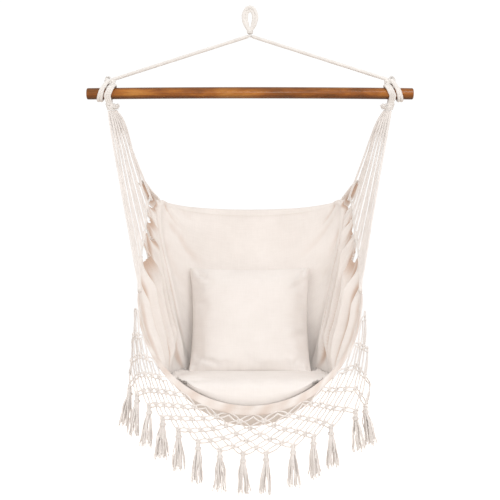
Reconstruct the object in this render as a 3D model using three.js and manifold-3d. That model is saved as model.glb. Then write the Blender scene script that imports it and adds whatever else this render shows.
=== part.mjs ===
// Hammock chair that hangs from one hook, in millimetres, +Z up.
// The origin is the hook's seat, at the inner top of the hanging eye.
// +X is the sitter's left, +Y is behind the chair, and the sitter faces -Y.
import * as THREE from "three";
import { mergeVertices } from "three/addons/utils/BufferGeometryUtils.js";
import Module from "manifold-3d";

const wasm = await Module();
wasm.setup();

// Clearances
const seatGap = 0.3;
const runningGap = 0.4;
const wrapGap = 0.6;
const restGap = 0.9;

// Hanging eye of doubled rope and the throat below it
const eyeHoleWidth = 15;
const eyeLimbWidth = 17;
const eyeLimbDepth = 11;
const eyeDrop = 62;
const throatKnotHeight = 7;
const throatKnotRadius = 10;
const crossingRadius = 6.5;

// Bridle and spreader bar
const bridleRopeRadius = 5;
const barLength = 1000;
const barRadius = 17.6;
const barRimRadius = 3;
const barDrop = 252;
const hitchInset = 70;
const hitchTurnOffset = 27;
const hitchTurnWidth = 15;
const hitchTurnDepth = 9;
const hitchKnotRadius = 11;

// Clew of the sling: the loop round the bar, its knot and the cord bundle
const clewLoopWidth = 20;
const clewLoopDepth = 9;
const clewLoopNeck = 17;
const clewLoopDrop = 33;
const clewLoopSweepDegrees = 130;
const clewKnotRadius = 13;
const clewKnotTaper = 1.6;
const clewDrop = 48;
const bundleRadius = 46;
const bundleDepth = 11;

// Suspension cords, each one doubled round the edge rope
const cordsPerSide = 12;
const cordPairWidth = 7;
const cordPairDepth = 3.6;
const cordRowOffset = 3;
const edgeRopeRadius = 4;

// Sling cloth: heights are below the bar's axis, reaches are from its plane
const clothThickness = 1.6;
const slingHalfWidth = 328;
const backDrop = 344;
const seatDrop = 1000;
const backReach = 317;
const frontReach = 313;
const foldDepth = 9;
const foldsPerSide = 6;

// Front hem and the knotted net below it
const hemWidth = 26;
const hemThickness = 4;
const netHalfWidth = 346;
const netThickness = 3.6;
const netMiddleDrop = 1036;
const netSideDrop = 890;
const netSideSkew = 22;
const netLean = 10;
const netStandoff = 6;
const netSagPower = 2.7;
const netColumns = 14;
const netRows = 3;

// Tassels
const tasselLength = 112;
const tasselHeadRadius = 5;
const tasselWaistRadius = 8.5;
const tasselFootRadius = 14;
const tasselFlutes = 6;

// Back pillow and seat cushion
const pillowWidth = 380;
const pillowHeight = 366;
const pillowThickness = 125;
const pillowLeanDegrees = 23;
const pillowStandoff = -40;
const pillowLift = 2;
const pillowFootReach = 44;
const seatCushionWidth = 424;
const seatCushionLength = 390;
const seatCushionThickness = 154;
const seatCushionSetback = 12;
const seamThickness = 8;
const coverWall = 2.4;
const fillingGap = 1;
const zipLength = 270;
const zipThickness = 4;
const zipDepth = 2;

// Counts that set how finely round and curved pieces are drawn
const ropeSides = 8;
const lumpSides = 12;
const barSides = 28;
const wrapSteps = 28;
const slingColumns = 20;
const slingStations = 28;
const cushionSteps = 12;

const barZ = -barDrop;
const clewX = barLength / 2 - hitchInset;
const throatZ = -eyeDrop - seatGap - throatKnotHeight - seatGap - crossingRadius;
const halfTurn = Math.PI;
const quarterTurn = Math.PI / 2;
const fullTurn = 2 * Math.PI;
const up = new THREE.Vector3(0, 0, 1);
const down = new THREE.Vector3(0, 0, -1);
const rearward = new THREE.Vector3(0, 1, 0);
const sideways = new THREE.Vector3(1, 0, 0);

// Materials
const finish = (color, roughness) => new THREE.MeshStandardMaterial({ color, roughness, metalness: 0 });
const varnishedWood = finish(0x9a5d26, 0.35);
const whiteRope = finish(0xf6f4f1, 0.95);
const canvas = finish(0xf3ece4, 0.95);
const cushionCloth = finish(0xf6efe8, 0.95);
const naturalCord = finish(0xeae3de, 0.95);
const polyesterFill = finish(0xffffff, 1);
const zipTape = finish(0xe9e2d8, 0.8);

// Small helpers
const at = (x, y, z) => new THREE.Vector3(x, y, z);
const offset = (point, direction, distance) => point.clone().addScaledVector(direction, distance);
const mix = (a, b, share) => a + (b - a) * share;
const sideName = (side) => (side < 0 ? "left" : "right");
const twoDigits = (n) => String(n).padStart(2, "0");

// Section whose flats lie at the half sizes
function oval(sides, halfWidth, halfDepth) {
  const reach = 1 / Math.cos(halfTurn / sides);
  const corners = Array.from({ length: sides }, (_, i) => {
    const angle = (fullTurn * (i + 1 / 2)) / sides;
    return new THREE.Vector2(halfWidth * reach * Math.cos(angle), halfDepth * reach * Math.sin(angle));
  });
  return new THREE.Shape(corners);
}

function smooth(share) {
  const t = THREE.MathUtils.clamp(share, 0, 1);
  return t * t * (3 - 2 * t);
}

// A path through given stations, whose section keeps its width along one axis
class StationPath extends THREE.Curve {
  constructor(stations, widthAxis) {
    super();
    this.stations = stations;
    this.widthAxis = widthAxis;
  }

  getPoint(t, target = new THREE.Vector3()) {
    const place = t * (this.stations.length - 1);
    const i = Math.min(Math.floor(place), this.stations.length - 2);
    return target.lerpVectors(this.stations[i], this.stations[i + 1], place - i);
  }

  getPointAt(t, target) {
    return this.getPoint(t, target);
  }

  getSpacedPoints(count) {
    return this.getPoints(count);
  }

  getTangentAt(t, target = new THREE.Vector3()) {
    const step = 1 / 2 / (this.stations.length - 1);
    const ahead = this.getPoint(Math.min(t + step, 1));
    return target.copy(ahead).sub(this.getPoint(Math.max(t - step, 0))).normalize();
  }

  computeFrenetFrames(segments) {
    const shares = Array.from({ length: segments + 1 }, (_, i) => i / segments);
    const tangents = shares.map((share) => this.getTangentAt(share));
    const normals = tangents.map((tangent) => this.widthAxis.clone().projectOnPlane(tangent).normalize());
    const binormals = tangents.map((tangent, i) => tangent.clone().cross(normals[i]));
    return { tangents, normals, binormals };
  }
}

const tube = (path, steps, section) =>
  new THREE.ExtrudeGeometry(section, { steps, extrudePath: path, bevelEnabled: false });

function facesOut(geometry) {
  const { position } = geometry.attributes;
  const faces = geometry.index.array;
  const corner = [at(0, 0, 0), at(0, 0, 0), at(0, 0, 0)];
  let volume = 0;
  for (let i = 0; i < faces.length; i += 3) {
    corner.forEach((c, k) => c.fromBufferAttribute(position, faces[i + k]));
    volume += corner[0].dot(corner[1].clone().cross(corner[2]));
  }
  if (volume < 0) {
    for (let i = 0; i < faces.length; i += 3) [faces[i], faces[i + 1]] = [faces[i + 1], faces[i]];
  }
  return geometry;
}

function meshFrom(points, faces) {
  const geometry = new THREE.BufferGeometry().setFromPoints(points);
  geometry.setIndex(faces);
  return facesOut(geometry);
}

// A closed slab between two grids of points, pointAt(i, j, face) with face 0 or 1
function slab(columns, rows, pointAt) {
  const points = [];
  const faces = [];
  const across = columns + 1;
  const layer = across * (rows + 1);
  for (const face of [0, 1]) {
    for (let j = 0; j <= rows; j++) for (let i = 0; i <= columns; i++) points.push(pointAt(i, j, face));
  }
  const quad = (a, b, c, d) => faces.push(a, b, c, a, c, d);
  for (let j = 0; j < rows; j++) {
    for (let i = 0; i < columns; i++) {
      const a = j * across + i;
      quad(a, a + 1, a + 1 + across, a + across);
      quad(a + layer, a + across + layer, a + 1 + across + layer, a + 1 + layer);
    }
  }
  const rim = [];
  for (let i = 0; i < columns; i++) rim.push(i);
  for (let j = 0; j < rows; j++) rim.push(j * across + columns);
  for (let i = columns; i > 0; i--) rim.push(rows * across + i);
  for (let j = rows; j > 0; j--) rim.push(j * across);
  rim.forEach((a, k) => {
    const b = rim[(k + 1) % rim.length];
    quad(a, a + layer, b + layer, b);
  });
  return meshFrom(points, faces);
}

// Joins and cuts, with corners closer than the weld distance made one
const weldDistance = clothThickness / 1000;

function toManifold(geometry) {
  const bare = geometry.clone();
  bare.deleteAttribute("normal");
  bare.deleteAttribute("uv");
  const merged = mergeVertices(bare, weldDistance);
  const vertProperties = new Float32Array(merged.attributes.position.array);
  const triVerts = new Uint32Array(merged.index.array);
  return new wasm.Manifold(new wasm.Mesh({ numProp: 3, vertProperties, triVerts }));
}

function fromManifold(solid) {
  const { vertProperties, triVerts } = solid.getMesh();
  const geometry = new THREE.BufferGeometry();
  geometry.setAttribute("position", new THREE.BufferAttribute(new Float32Array(vertProperties), 3));
  geometry.setIndex([...triVerts]);
  return geometry;
}

const joined = (...geometries) =>
  fromManifold(geometries.map(toManifold).reduce((whole, piece) => whole.add(piece)));

const cut = (body, ...tools) =>
  fromManifold(tools.map(toManifold).reduce((whole, tool) => whole.subtract(tool), toManifold(body)));

function named(name, geometry, material) {
  const mesh = new THREE.Mesh(geometry, material);
  mesh.name = name;
  return mesh;
}

const rounded = (radius, centre) =>
  new THREE.SphereGeometry(radius, lumpSides, ropeSides).rotateX(quarterTurn).translate(...centre);

// Hanging eye: doubled rope bent into a teardrop, its limbs lapped at the throat
const eyeOutlineShares = [
  [-0.12, 0],
  [0.6, 0.1],
  [0.97, 0.32],
  [0.93, 0.52],
  [0.58, 0.78],
  [0.12, 1],
];

function hangingEye() {
  const limbCentre = (eyeHoleWidth + eyeLimbWidth) / 2;
  const top = eyeLimbWidth / 2;
  const limb = (side) => {
    const points = eyeOutlineShares.map(([across, along]) =>
      at(side * limbCentre * across, 0, top - (eyeDrop + top) * along),
    );
    const curve = new THREE.CatmullRomCurve3(points);
    return tube(curve, eyeOutlineShares.length * 2, oval(ropeSides, eyeLimbDepth / 2, eyeLimbWidth / 2));
  };
  const across = eyeHoleWidth + 2 * eyeLimbWidth;
  const block = new THREE.BoxGeometry(across, across, eyeLimbWidth);
  block.translate(0, 0, -eyeDrop - eyeLimbWidth / 2);
  return named("hanging_eye", cut(joined(limb(-1), limb(1)), block), whiteRope);
}

// Throat knot that turns under the eye, and the crossing of the legs below it
function throatKnot() {
  const rim = throatKnotHeight / 4;
  const profile = [
    [0, 0],
    [throatKnotRadius - rim, 0],
    [throatKnotRadius, rim],
    [throatKnotRadius, throatKnotHeight - rim],
    [throatKnotRadius - rim, throatKnotHeight],
    [0, throatKnotHeight],
  ].map(([radius, height]) => new THREE.Vector2(radius, height));
  const knot = new THREE.LatheGeometry(profile, barSides / 2).rotateX(quarterTurn);
  knot.translate(0, 0, -eyeDrop - seatGap - throatKnotHeight);
  return named("throat_knot", knot, whiteRope);
}

const crossing = () => named("crossing_turn", rounded(crossingRadius, [0, 0, throatZ]), whiteRope);

// Bridle leg with the turn that it takes round the bar, and the knot on top
const hitchTurnShares = [
  // Angle from straight up, share of the way out to the turn, share of the lift
  [0, 0, 1],
  [25, 0.5, 0.8],
  [50, 0.9, 0.2],
  [80, 1, 0],
  [115, 1, 0],
  [150, 1, 0],
  [180, 1, 0],
];

function bridleLeg(side) {
  const wrapRadius = barRadius + wrapGap + hitchTurnDepth / 2;
  const knotRadius = barRadius + runningGap + clewLoopDepth + wrapGap + hitchKnotRadius;
  const around = (degrees, out, lift) => {
    const angle = THREE.MathUtils.degToRad(degrees);
    const radius = mix(wrapRadius, knotRadius, lift);
    const x = side * (clewX + hitchTurnOffset * out);
    return at(x, -radius * Math.sin(angle), barZ + radius * Math.cos(angle));
  };
  const front = hitchTurnShares.map(([degrees, out, lift]) => around(degrees, out, lift));
  const back = hitchTurnShares.slice(1, -1).map(([degrees, out, lift]) => around(-degrees, out, lift));
  const knot = front[0];
  const close = offset(knot, rearward, hitchTurnDepth / 2);
  const route = new THREE.CatmullRomCurve3([...front, ...back.reverse(), close]);
  const path = new StationPath(route.getPoints(wrapSteps), sideways);
  const turn = tube(path, wrapSteps, oval(ropeSides, hitchTurnWidth / 2, hitchTurnDepth / 2));
  const throat = at(0, 0, throatZ);
  const run = knot.clone().sub(throat).normalize();
  const start = offset(throat, run, crossingRadius + seatGap);
  const leg = tube(new THREE.LineCurve3(start, knot), 4, oval(ropeSides, bridleRopeRadius, bridleRopeRadius));
  const lump = rounded(hitchKnotRadius, knot.toArray());
  return named(`bridle_leg_${sideName(side)}`, joined(leg, turn, lump), whiteRope);
}

// Turned spreader bar with rounded rims
function spreaderBar() {
  const half = barLength / 2;
  const rim = barRimRadius * (1 - Math.SQRT1_2);
  const end = [
    [0, half],
    [barRadius - barRimRadius, half],
    [barRadius - rim, half - rim],
    [barRadius, half - barRimRadius],
  ];
  const start = end.map(([radius, along]) => [radius, -along]);
  const profile = [...start, ...end.reverse()].map(([radius, along]) => new THREE.Vector2(radius, along));
  const bar = new THREE.LatheGeometry(profile, barSides).rotateZ(-quarterTurn);
  return named("spreader_bar", bar.translate(0, 0, barZ), varnishedWood);
}

// Sling cloth: a U across the chair, from the back edge down, under and forward
const depthOfSling = frontReach + backReach;
const fallOfSling = seatDrop - backDrop;

// Reach from front to back and fall from the back edge, along the middle
const middleShares = [
  [1, 0],
  [0.93, 0.235],
  [0.817, 0.54],
  [0.754, 0.74],
  [0.667, 0.89],
  [0.524, 0.982],
  [0.333, 1],
  [0.159, 0.95],
  [0, 0.86],
];

// Half width, reach and fall along the side edge, from back corner to front corner
const sideShares = [
  [0.884, 0.873, -0.046],
  [0.995, 0.762, -0.03],
  [0.997, 0.603, 0.098],
  [1, 0.349, 0.31],
  [0.976, 0.238, 0.396],
];

const slingPlace = (across, reach, fall) =>
  at(slingHalfWidth * across, depthOfSling * reach - frontReach, barZ - backDrop - fallOfSling * fall);

const middleStations = middleShares.map(([reach, fall]) => slingPlace(0, reach, fall));
const middleLine = new THREE.CatmullRomCurve3(middleStations);
const sideLine = new THREE.CatmullRomCurve3(sideShares.map((row) => slingPlace(...row)));

function slingPoint(angle, v) {
  const side = sideLine.getPointAt(v);
  const middle = middleLine.getPointAt(v);
  const sag = Math.cos(angle);
  return at(side.x * Math.sin(angle), mix(side.y, middle.y, sag), mix(side.z, middle.z, sag));
}

// Unit vector from the cloth towards the sitter
function slingNormal(angle, v) {
  const step = 1e-3;
  const v0 = Math.max(v - step, 0);
  const v1 = Math.min(v + step, 1);
  const along = slingPoint(angle, v1).sub(slingPoint(angle, v0));
  const across = slingPoint(angle + step, v).sub(slingPoint(angle - step, v));
  return along.cross(across).normalize();
}

// Gathers that run down the side walls and die out under the seat
function foldHeight(angle, v) {
  const out = Math.abs(angle) / quarterTurn;
  const window = smooth((out - 0.45) * 4) * smooth((1 - out) * 8);
  return foldDepth * window * Math.cos(fullTurn * foldsPerSide * v);
}

function slingCloth() {
  const cloth = slab(slingColumns, slingStations, (i, j, face) => {
    const angle = mix(-quarterTurn, quarterTurn, i / slingColumns);
    const v = j / slingStations;
    const height = foldHeight(angle, v) + (face - 1 / 2) * clothThickness;
    return offset(slingPoint(angle, v), slingNormal(angle, v), height);
  });
  return named("sling_cloth", cloth, canvas);
}

// Edge rope that carries the cloth's side edge, out to its corners
const edgeRopeReach = edgeRopeRadius / Math.cos(halfTurn / ropeSides);

function edgeRopePoint(side, v) {
  const edge = sideLine.getPointAt(v);
  const outward = edge.clone().sub(middleLine.getPointAt(v)).setX(0);
  outward.projectOnPlane(sideLine.getTangentAt(v)).normalize();
  const centre = offset(edge, outward, seatGap + edgeRopeReach);
  return at(side * centre.x, centre.y, centre.z);
}

function edgeRope(side) {
  const shares = Array.from({ length: slingStations + 1 }, (_, j) => j / slingStations);
  const stations = shares.map((v) => edgeRopePoint(side, v));
  const path = new StationPath(stations, sideways);
  const rope = tube(path, slingStations, oval(ropeSides, edgeRopeRadius, edgeRopeRadius));
  return named(`edge_rope_${sideName(side)}`, rope, whiteRope);
}

// Clew: a loop over the bar, the knot under it, and the fan of gathered cords
function clewLoop(side) {
  const radius = barRadius + runningGap + clewLoopDepth / 2;
  const neck = clewLoopNeck / 2;
  const bottom = barZ - clewLoopDrop + seatGap;
  const sweep = THREE.MathUtils.degToRad(clewLoopSweepDegrees);
  const arc = Array.from({ length: wrapSteps - 3 }, (_, i) => {
    const angle = mix(-sweep, sweep, i / (wrapSteps - 4));
    return at(side * clewX, radius * Math.sin(angle), barZ + radius * Math.cos(angle));
  });
  const foot = (hand) => at(side * clewX, hand * neck, bottom);
  const ankle = (hand) => at(side * clewX, hand * neck, bottom + clewLoopDepth / 2);
  const path = new StationPath([foot(-1), ankle(-1), ...arc, ankle(1), foot(1)], sideways);
  const loop = tube(path, wrapSteps, oval(ropeSides, clewLoopWidth / 2, clewLoopDepth / 2));
  return named(`clew_loop_${sideName(side)}`, loop, whiteRope);
}

const clewCentre = (side) => at(side * clewX, 0, barZ - clewDrop);
const cordShare = (index) => (index + 1 / 2) / cordsPerSide;
const fanEdge = (side, v) => edgeRopePoint(side, v).sub(clewCentre(side)).normalize();
const fanNormal = (side) => fanEdge(side, 0).cross(fanEdge(side, 1)).normalize();

// Direction from the clew at a share of the way across the fan
function fanDirection(side, share) {
  const first = fanEdge(side, 0);
  return first.clone().applyAxisAngle(fanNormal(side), first.angleTo(fanEdge(side, 1)) * share);
}

function clewKnot(side) {
  const centre = clewCentre(side);
  const normal = fanNormal(side);
  const bundle = slab(cordsPerSide + 1, 1, (i, j, face) => {
    const direction = fanDirection(side, THREE.MathUtils.clamp(cordShare(i - 1), 0, 1));
    const radius = j ? bundleRadius : clewKnotRadius / 2;
    return offset(offset(centre, direction, radius), normal, (face - 1 / 2) * bundleDepth);
  });
  const height = clewDrop - clewLoopDrop + clewKnotRadius / 2;
  const foot = clewKnotRadius / clewKnotTaper;
  const collar = new THREE.CylinderGeometry(clewKnotRadius, foot, height, lumpSides);
  collar.rotateX(quarterTurn).translate(centre.x, 0, barZ - clewLoopDrop - height / 2);
  return named(`clew_knot_${sideName(side)}`, joined(bundle, collar), whiteRope);
}

// A doubled suspension cord, from the bundle to just short of the edge rope
function suspensionCord(side, index) {
  const v = cordShare(index);
  const end = edgeRopePoint(side, v);
  const row = index % 2 ? cordRowOffset : -cordRowOffset;
  const fan = fanDirection(side, v);
  const root = offset(offset(clewCentre(side), fan, bundleRadius), fanNormal(side), row);
  const run = end.clone().sub(root).normalize();
  const start = offset(root, run, seatGap + (cordPairWidth / 2) * Math.sin(run.angleTo(fan)));
  const step = 1 / slingStations;
  const rope = edgeRopePoint(side, Math.min(v + step, 1)).sub(edgeRopePoint(side, Math.max(v - step, 0)));
  const lean = Math.abs(rope.normalize().dot(run));
  const square = Math.sqrt(1 - lean * lean);
  const stop = (edgeRopeReach + seatGap + (cordPairWidth / 2) * lean) / square;
  const length = end.distanceTo(start) - stop;
  const across = fanNormal(side).cross(run).normalize();
  const section = oval(ropeSides, cordPairWidth / 2, cordPairDepth / 2);
  const cord = new THREE.ExtrudeGeometry(section, { depth: length, bevelEnabled: false });
  const mesh = named(`cord_${sideName(side)}_${twoDigits(index + 1)}`, cord, naturalCord);
  const turn = new THREE.Matrix4().makeBasis(across, run.clone().cross(across), run);
  mesh.quaternion.setFromRotationMatrix(turn);
  mesh.position.copy(start);
  return mesh;
}

// Front hem and net share these stations along the front edge
const tasselShares = [
  -0.985, -0.913, -0.806, -0.694, -0.564, -0.408, -0.238, -0.055, 0.127, 0.341, 0.503, 0.645, 0.85, 0.94,
];

// Angle of the net's lower edge at a share of the way from left to right
function lowerAngle(share) {
  const places = [-1, ...tasselShares, 1];
  const spot = THREE.MathUtils.clamp(share * netColumns + 1 / 2, 0, netColumns + 1);
  const i = Math.min(Math.floor(spot), netColumns);
  const stretch = i === 0 || i === netColumns ? 2 : 1;
  const part = (spot - i) * stretch - (i === 0 ? 1 : 0);
  return Math.asin(THREE.MathUtils.clamp(mix(places[i], places[i + 1], part), -1, 1));
}

const edgeSteps = slingColumns * 8;
const edgeAngle = (step) => mix(-quarterTurn, quarterTurn, step / edgeSteps);
const frontStations = Array.from({ length: edgeSteps + 1 }, (_, i) => slingPoint(edgeAngle(i), 1));
const frontEdge = new StationPath(frontStations);
const edgeLengths = frontEdge.getLengths(edgeSteps);

// Angle on the front edge, halfway between even spacing and the lower edge's spacing
function upperAngle(share) {
  const wanted = share * edgeLengths[edgeSteps];
  let i = 0;
  while (i < edgeSteps - 1 && edgeLengths[i + 1] < wanted) i++;
  const part = (wanted - edgeLengths[i]) / (edgeLengths[i + 1] - edgeLengths[i]);
  const even = edgeAngle(i + part);
  return mix(even, lowerAngle(share), 1 / 2);
}

const hemDirection = (angle) => at(0, -Math.abs(Math.sin(angle)), -Math.cos(angle)).normalize();

function hemTop(share) {
  const angle = upperAngle(share);
  const forward = slingPoint(angle, 1).sub(slingPoint(angle, 1 - 1e-3)).normalize();
  return offset(slingPoint(angle, 1), forward, seatGap + (hemThickness + clothThickness) / 2);
}

function netTop(share) {
  const angle = upperAngle(share);
  const below = offset(hemTop(share), hemDirection(angle), hemWidth + restGap);
  return offset(below, sideways, netStandoff * Math.sin(angle) ** 3);
}

function netBottom(share) {
  const angle = lowerAngle(share);
  const sideDrop = netSideDrop + netSideSkew * Math.sin(angle);
  const drop = mix(sideDrop, netMiddleDrop, Math.cos(angle) ** netSagPower);
  const top = netTop(share);
  return at(netHalfWidth * Math.sin(angle), top.y - netLean, barZ - drop);
}

const netPoint = (share, fall) => netTop(share).lerp(netBottom(share), fall);

function netNormal(share, fall) {
  const step = 1e-3;
  const s0 = Math.max(share - step, 0);
  const s1 = Math.min(share + step, 1);
  const across = netPoint(s1, fall).sub(netPoint(s0, fall));
  return across.cross(netBottom(share).sub(netTop(share))).normalize();
}

function frontHem() {
  const steps = netColumns * 2;
  const band = slab(steps, 1, (i, j, face) => {
    const share = i / steps;
    const angle = upperAngle(share);
    const fall = hemDirection(angle);
    const step = 1 / steps;
    const along = hemTop(Math.min(share + step, 1)).sub(hemTop(Math.max(share - step, 0)));
    const out = along.cross(fall).normalize();
    return offset(offset(hemTop(share), fall, j * hemWidth), out, (face - 1 / 2) * hemThickness);
  });
  return named("front_hem", band, canvas);
}

// Knotted net: diamonds that share their strands, each with its hole
const strandShare = 0.84;

function knottedNet() {
  const points = [];
  const faces = [];
  const known = new Map();
  const corner = (column, row, face) => {
    const key = `${column.toFixed(3)} ${row.toFixed(3)} ${face}`;
    if (!known.has(key)) {
      const share = THREE.MathUtils.clamp(column / netColumns, 0, 1);
      const fall = row / netRows;
      known.set(key, points.length);
      points.push(offset(netPoint(share, fall), netNormal(share, fall), (face - 1 / 2) * netThickness));
    }
    return known.get(key);
  };
  const arms = [
    [0, -1],
    [1, 0],
    [0, 1],
    [-1, 0],
  ];
  const inGrid = (column, row) => {
    const half = Math.round(row * 2) % 2 === 0;
    const first = half ? 1 : 1 / 2;
    const last = half ? netColumns - 1 : netColumns - 1 / 2;
    return row > 0 && row < netRows && column >= first && column <= last;
  };
  const cell = (column, row) => {
    const tip = ([across, fall], share, face) =>
      corner(column + (across * share) / 2, row + (fall * share) / 2, face);
    arms.forEach((arm, k) => {
      const next = arms[(k + 1) % arms.length];
      const strand = (face) => [
        tip(arm, 1, face),
        tip(next, 1, face),
        tip(next, strandShare, face),
        tip(arm, strandShare, face),
      ];
      const [a0, b0, c0, d0] = strand(0);
      const [a1, b1, c1, d1] = strand(1);
      faces.push(a0, c0, b0, a0, d0, c0, a1, b1, c1, a1, c1, d1);
      faces.push(d0, c1, c0, d0, d1, c1);
      const beyond = inGrid(column + (arm[0] + next[0]) / 2, row + (arm[1] + next[1]) / 2);
      if (!beyond) faces.push(a0, b0, b1, a0, b1, a1);
    });
  };
  for (let row = 1 / 2; row < netRows; row += 1) {
    for (let column = 1 / 2; column < netColumns; column += 1) cell(column, row);
  }
  for (let row = 1; row < netRows; row += 1) {
    for (let column = 1; column < netColumns; column += 1) cell(column, row);
  }
  return named("knotted_net", meshFrom(points, faces), naturalCord);
}

// Tassel with a round head, a waist and a fluted, flared foot
const tasselProfileShares = [
  // Share of the length from the head's centre, and how far from waist to foot
  [0.1, 0],
  [0.35, 0.2],
  [0.7, 0.55],
  [0.93, 1],
];
const fluteShare = 1 / 8;

function tassel(index) {
  const head = [-90, -45, 0].map((degrees) => {
    const angle = THREE.MathUtils.degToRad(degrees);
    return [tasselHeadRadius * Math.cos(angle), tasselHeadRadius * Math.sin(angle)];
  });
  const skirt = tasselProfileShares.map(([along, flare]) => [
    mix(tasselWaistRadius, tasselFootRadius, flare),
    tasselLength * along,
  ]);
  const foot = [0, tasselLength - tasselHeadRadius];
  const profile = [...head, ...skirt, foot].map(([radius, fall]) => new THREE.Vector2(radius, fall));
  const body = new THREE.LatheGeometry(profile, tasselFlutes * 2);
  const { position } = body.attributes;
  const point = at(0, 0, 0);
  for (let i = 0; i < position.count; i++) {
    point.fromBufferAttribute(position, i);
    const angle = Math.atan2(point.z, point.x);
    const flute = point.y > tasselHeadRadius / 2 ? 1 + Math.cos(angle * tasselFlutes) * fluteShare : 1;
    position.setXYZ(i, point.x * flute, point.y, point.z * flute);
  }
  body.rotateX(-quarterTurn);
  const mesh = named(`tassel_${twoDigits(index + 1)}`, body, naturalCord);
  const share = (index + 1 / 2) / netColumns;
  mesh.position.copy(netBottom(share));
  mesh.position.z -= seatGap + tasselHeadRadius;
  return mesh;
}

// Cushions: a grid that is finer near the seams, drawn in between its corners
const cushionPull = 0.045;
const cushionGrid = (i) => Math.sin(halfTurn * (i / cushionSteps - 1 / 2));
const crown = (a, b) => Math.sqrt(Math.max((1 - a ** 4) * (1 - b ** 4), 0));

const drawnIn = (a, b) => [a * (1 - cushionPull * (1 - b * b)), b * (1 - cushionPull * (1 - a * a))];

// place(x, y, fullness, inset, face) puts a point, with x and y from the cushion's middle
function cushionShell(width, length, place, inset) {
  return slab(cushionSteps, cushionSteps, (i, j, face) => {
    const [a, b] = [cushionGrid(i), cushionGrid(j)];
    const [x, y] = drawnIn(a, b);
    return place(x * (width / 2 - inset), y * (length / 2 - inset), crown(a, b), inset, face);
  });
}

function zipStrip(width, length, place, strip) {
  const reach = strip.length / width;
  return slab(cushionSteps, 1, (i, j, face) => {
    const a = mix(-reach, reach, i / cushionSteps);
    const [x, y] = drawnIn(a, -1);
    const depth = j ? strip.depth : -strip.outside;
    const edge = (seamThickness - strip.thickness) / 2;
    return place((x * width) / 2, (y * length) / 2 + depth, 0, edge, face);
  });
}

function cushion(name, width, length, place) {
  const outer = cushionShell(width, length, place, 0);
  const hollow = cushionShell(width, length, place, coverWall);
  const opening = {
    length: zipLength,
    depth: coverWall * 2,
    outside: coverWall * 2,
    thickness: zipThickness + 2 * seatGap,
  };
  const slot = zipStrip(width, length, place, opening);
  const filling = cushionShell(width, length, place, coverWall + fillingGap);
  const zip = zipStrip(width, length, place, {
    length: zipLength - 2 * seatGap,
    depth: zipDepth,
    outside: seatGap,
    thickness: zipThickness,
  });
  const group = new THREE.Group();
  group.add(named(`${name}_cover`, cut(outer, hollow, slot), cushionCloth));
  group.add(named(`${name}_filling`, filling, polyesterFill));
  group.add(named(`${name}_zip`, zip, zipTape));
  return group;
}

function cornersAndMiddles(mesh) {
  const { position } = mesh.geometry.attributes;
  const faces = mesh.geometry.index.array;
  const points = Array.from({ length: position.count }, (_, i) =>
    at(0, 0, 0).fromBufferAttribute(position, i).applyMatrix4(mesh.matrixWorld),
  );
  const middles = [];
  for (let i = 0; i < faces.length; i += 3) {
    const corners = [points[faces[i]], points[faces[i + 1]], points[faces[i + 2]]];
    middles.push(at(0, 0, 0).add(corners[0]).add(corners[1]).add(corners[2]).divideScalar(3));
    middles.push(corners[0].clone().lerp(corners[1], 1 / 2), corners[1].clone().lerp(corners[2], 1 / 2));
  }
  return [...points, ...middles];
}

// Least distance that one mesh can move along a direction before it meets another
function wayAlong(moving, fixed, direction) {
  const ray = new THREE.Raycaster();
  let least = Infinity;
  for (const [from, to, sign] of [
    [moving, fixed, 1],
    [fixed, moving, -1],
  ]) {
    const heading = direction.clone().multiplyScalar(sign);
    for (const point of cornersAndMiddles(from)) {
      ray.set(point, heading);
      const [hit] = ray.intersectObject(to);
      if (hit) least = Math.min(least, hit.distance);
    }
  }
  return least;
}

function settle(group, direction, ...neighbours) {
  group.updateMatrixWorld(true);
  const ways = neighbours.map((fixed) => wayAlong(group.children[0], fixed, direction));
  group.position.addScaledVector(direction, Math.min(...ways) - restGap);
  group.updateMatrixWorld(true);
}

// Seat cushion: its underside follows the sling, its top is crowned
function seatCushion(cloth) {
  const lineLength = middleLine.getLength();
  const lift = clothThickness * 4;
  const topZ = barZ - seatDrop + lift + seatCushionThickness;
  const place = (x, y, fullness, inset, face) => {
    const v = 1 - (seatCushionSetback + seatCushionLength / 2 - y) / lineLength;
    const halfWidth = sideLine.getPointAt(v).x;
    const angle = Math.asin(x / halfWidth);
    const underside = offset(slingPoint(angle, v), slingNormal(angle, v), lift);
    if (!face) return offset(underside, up, inset);
    return underside.setZ(mix(underside.z + seamThickness, topZ, fullness) - inset);
  };
  const group = cushion("seat_cushion", seatCushionWidth, seatCushionLength, place);
  settle(group, down, cloth);
  return group;
}

// Back pillow: leans on the sling's back, and its foot reaches forward on the seat cushion
function backPillow(cloth, seat) {
  const place = (x, y, fullness, inset, face) => {
    const depth = mix(seamThickness, pillowThickness, fullness) / 2 - inset;
    const foot = pillowFootReach * (1 / 2 - y / pillowHeight) ** 3;
    return at(x, (face ? -depth : depth) - foot, y);
  };
  const group = cushion("back_pillow", pillowWidth, pillowHeight, place);
  group.rotation.x = -THREE.MathUtils.degToRad(pillowLeanDegrees);
  group.position.set(0, pillowStandoff, barZ - seatDrop + seatCushionThickness + pillowHeight);
  const [seatCover] = seat.children;
  for (const direction of [down, rearward, down, rearward]) settle(group, direction, seatCover, cloth);
  group.position.addScaledVector(up, pillowLift);
  settle(group, rearward, cloth);
  return group;
}

// The whole chair
const chair = new THREE.Group();
chair.add(hangingEye(), throatKnot(), crossing(), spreaderBar());
for (const side of [-1, 1]) {
  chair.add(bridleLeg(side), clewLoop(side), clewKnot(side), edgeRope(side));
  for (let i = 0; i < cordsPerSide; i++) chair.add(suspensionCord(side, i));
}
const cloth = slingCloth();
chair.add(cloth, frontHem(), knottedNet());
for (let i = 0; i < netColumns; i++) chair.add(tassel(i));
const seat = seatCushion(cloth);
chair.add(seat, backPillow(cloth, seat));

export default chair;
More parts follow.
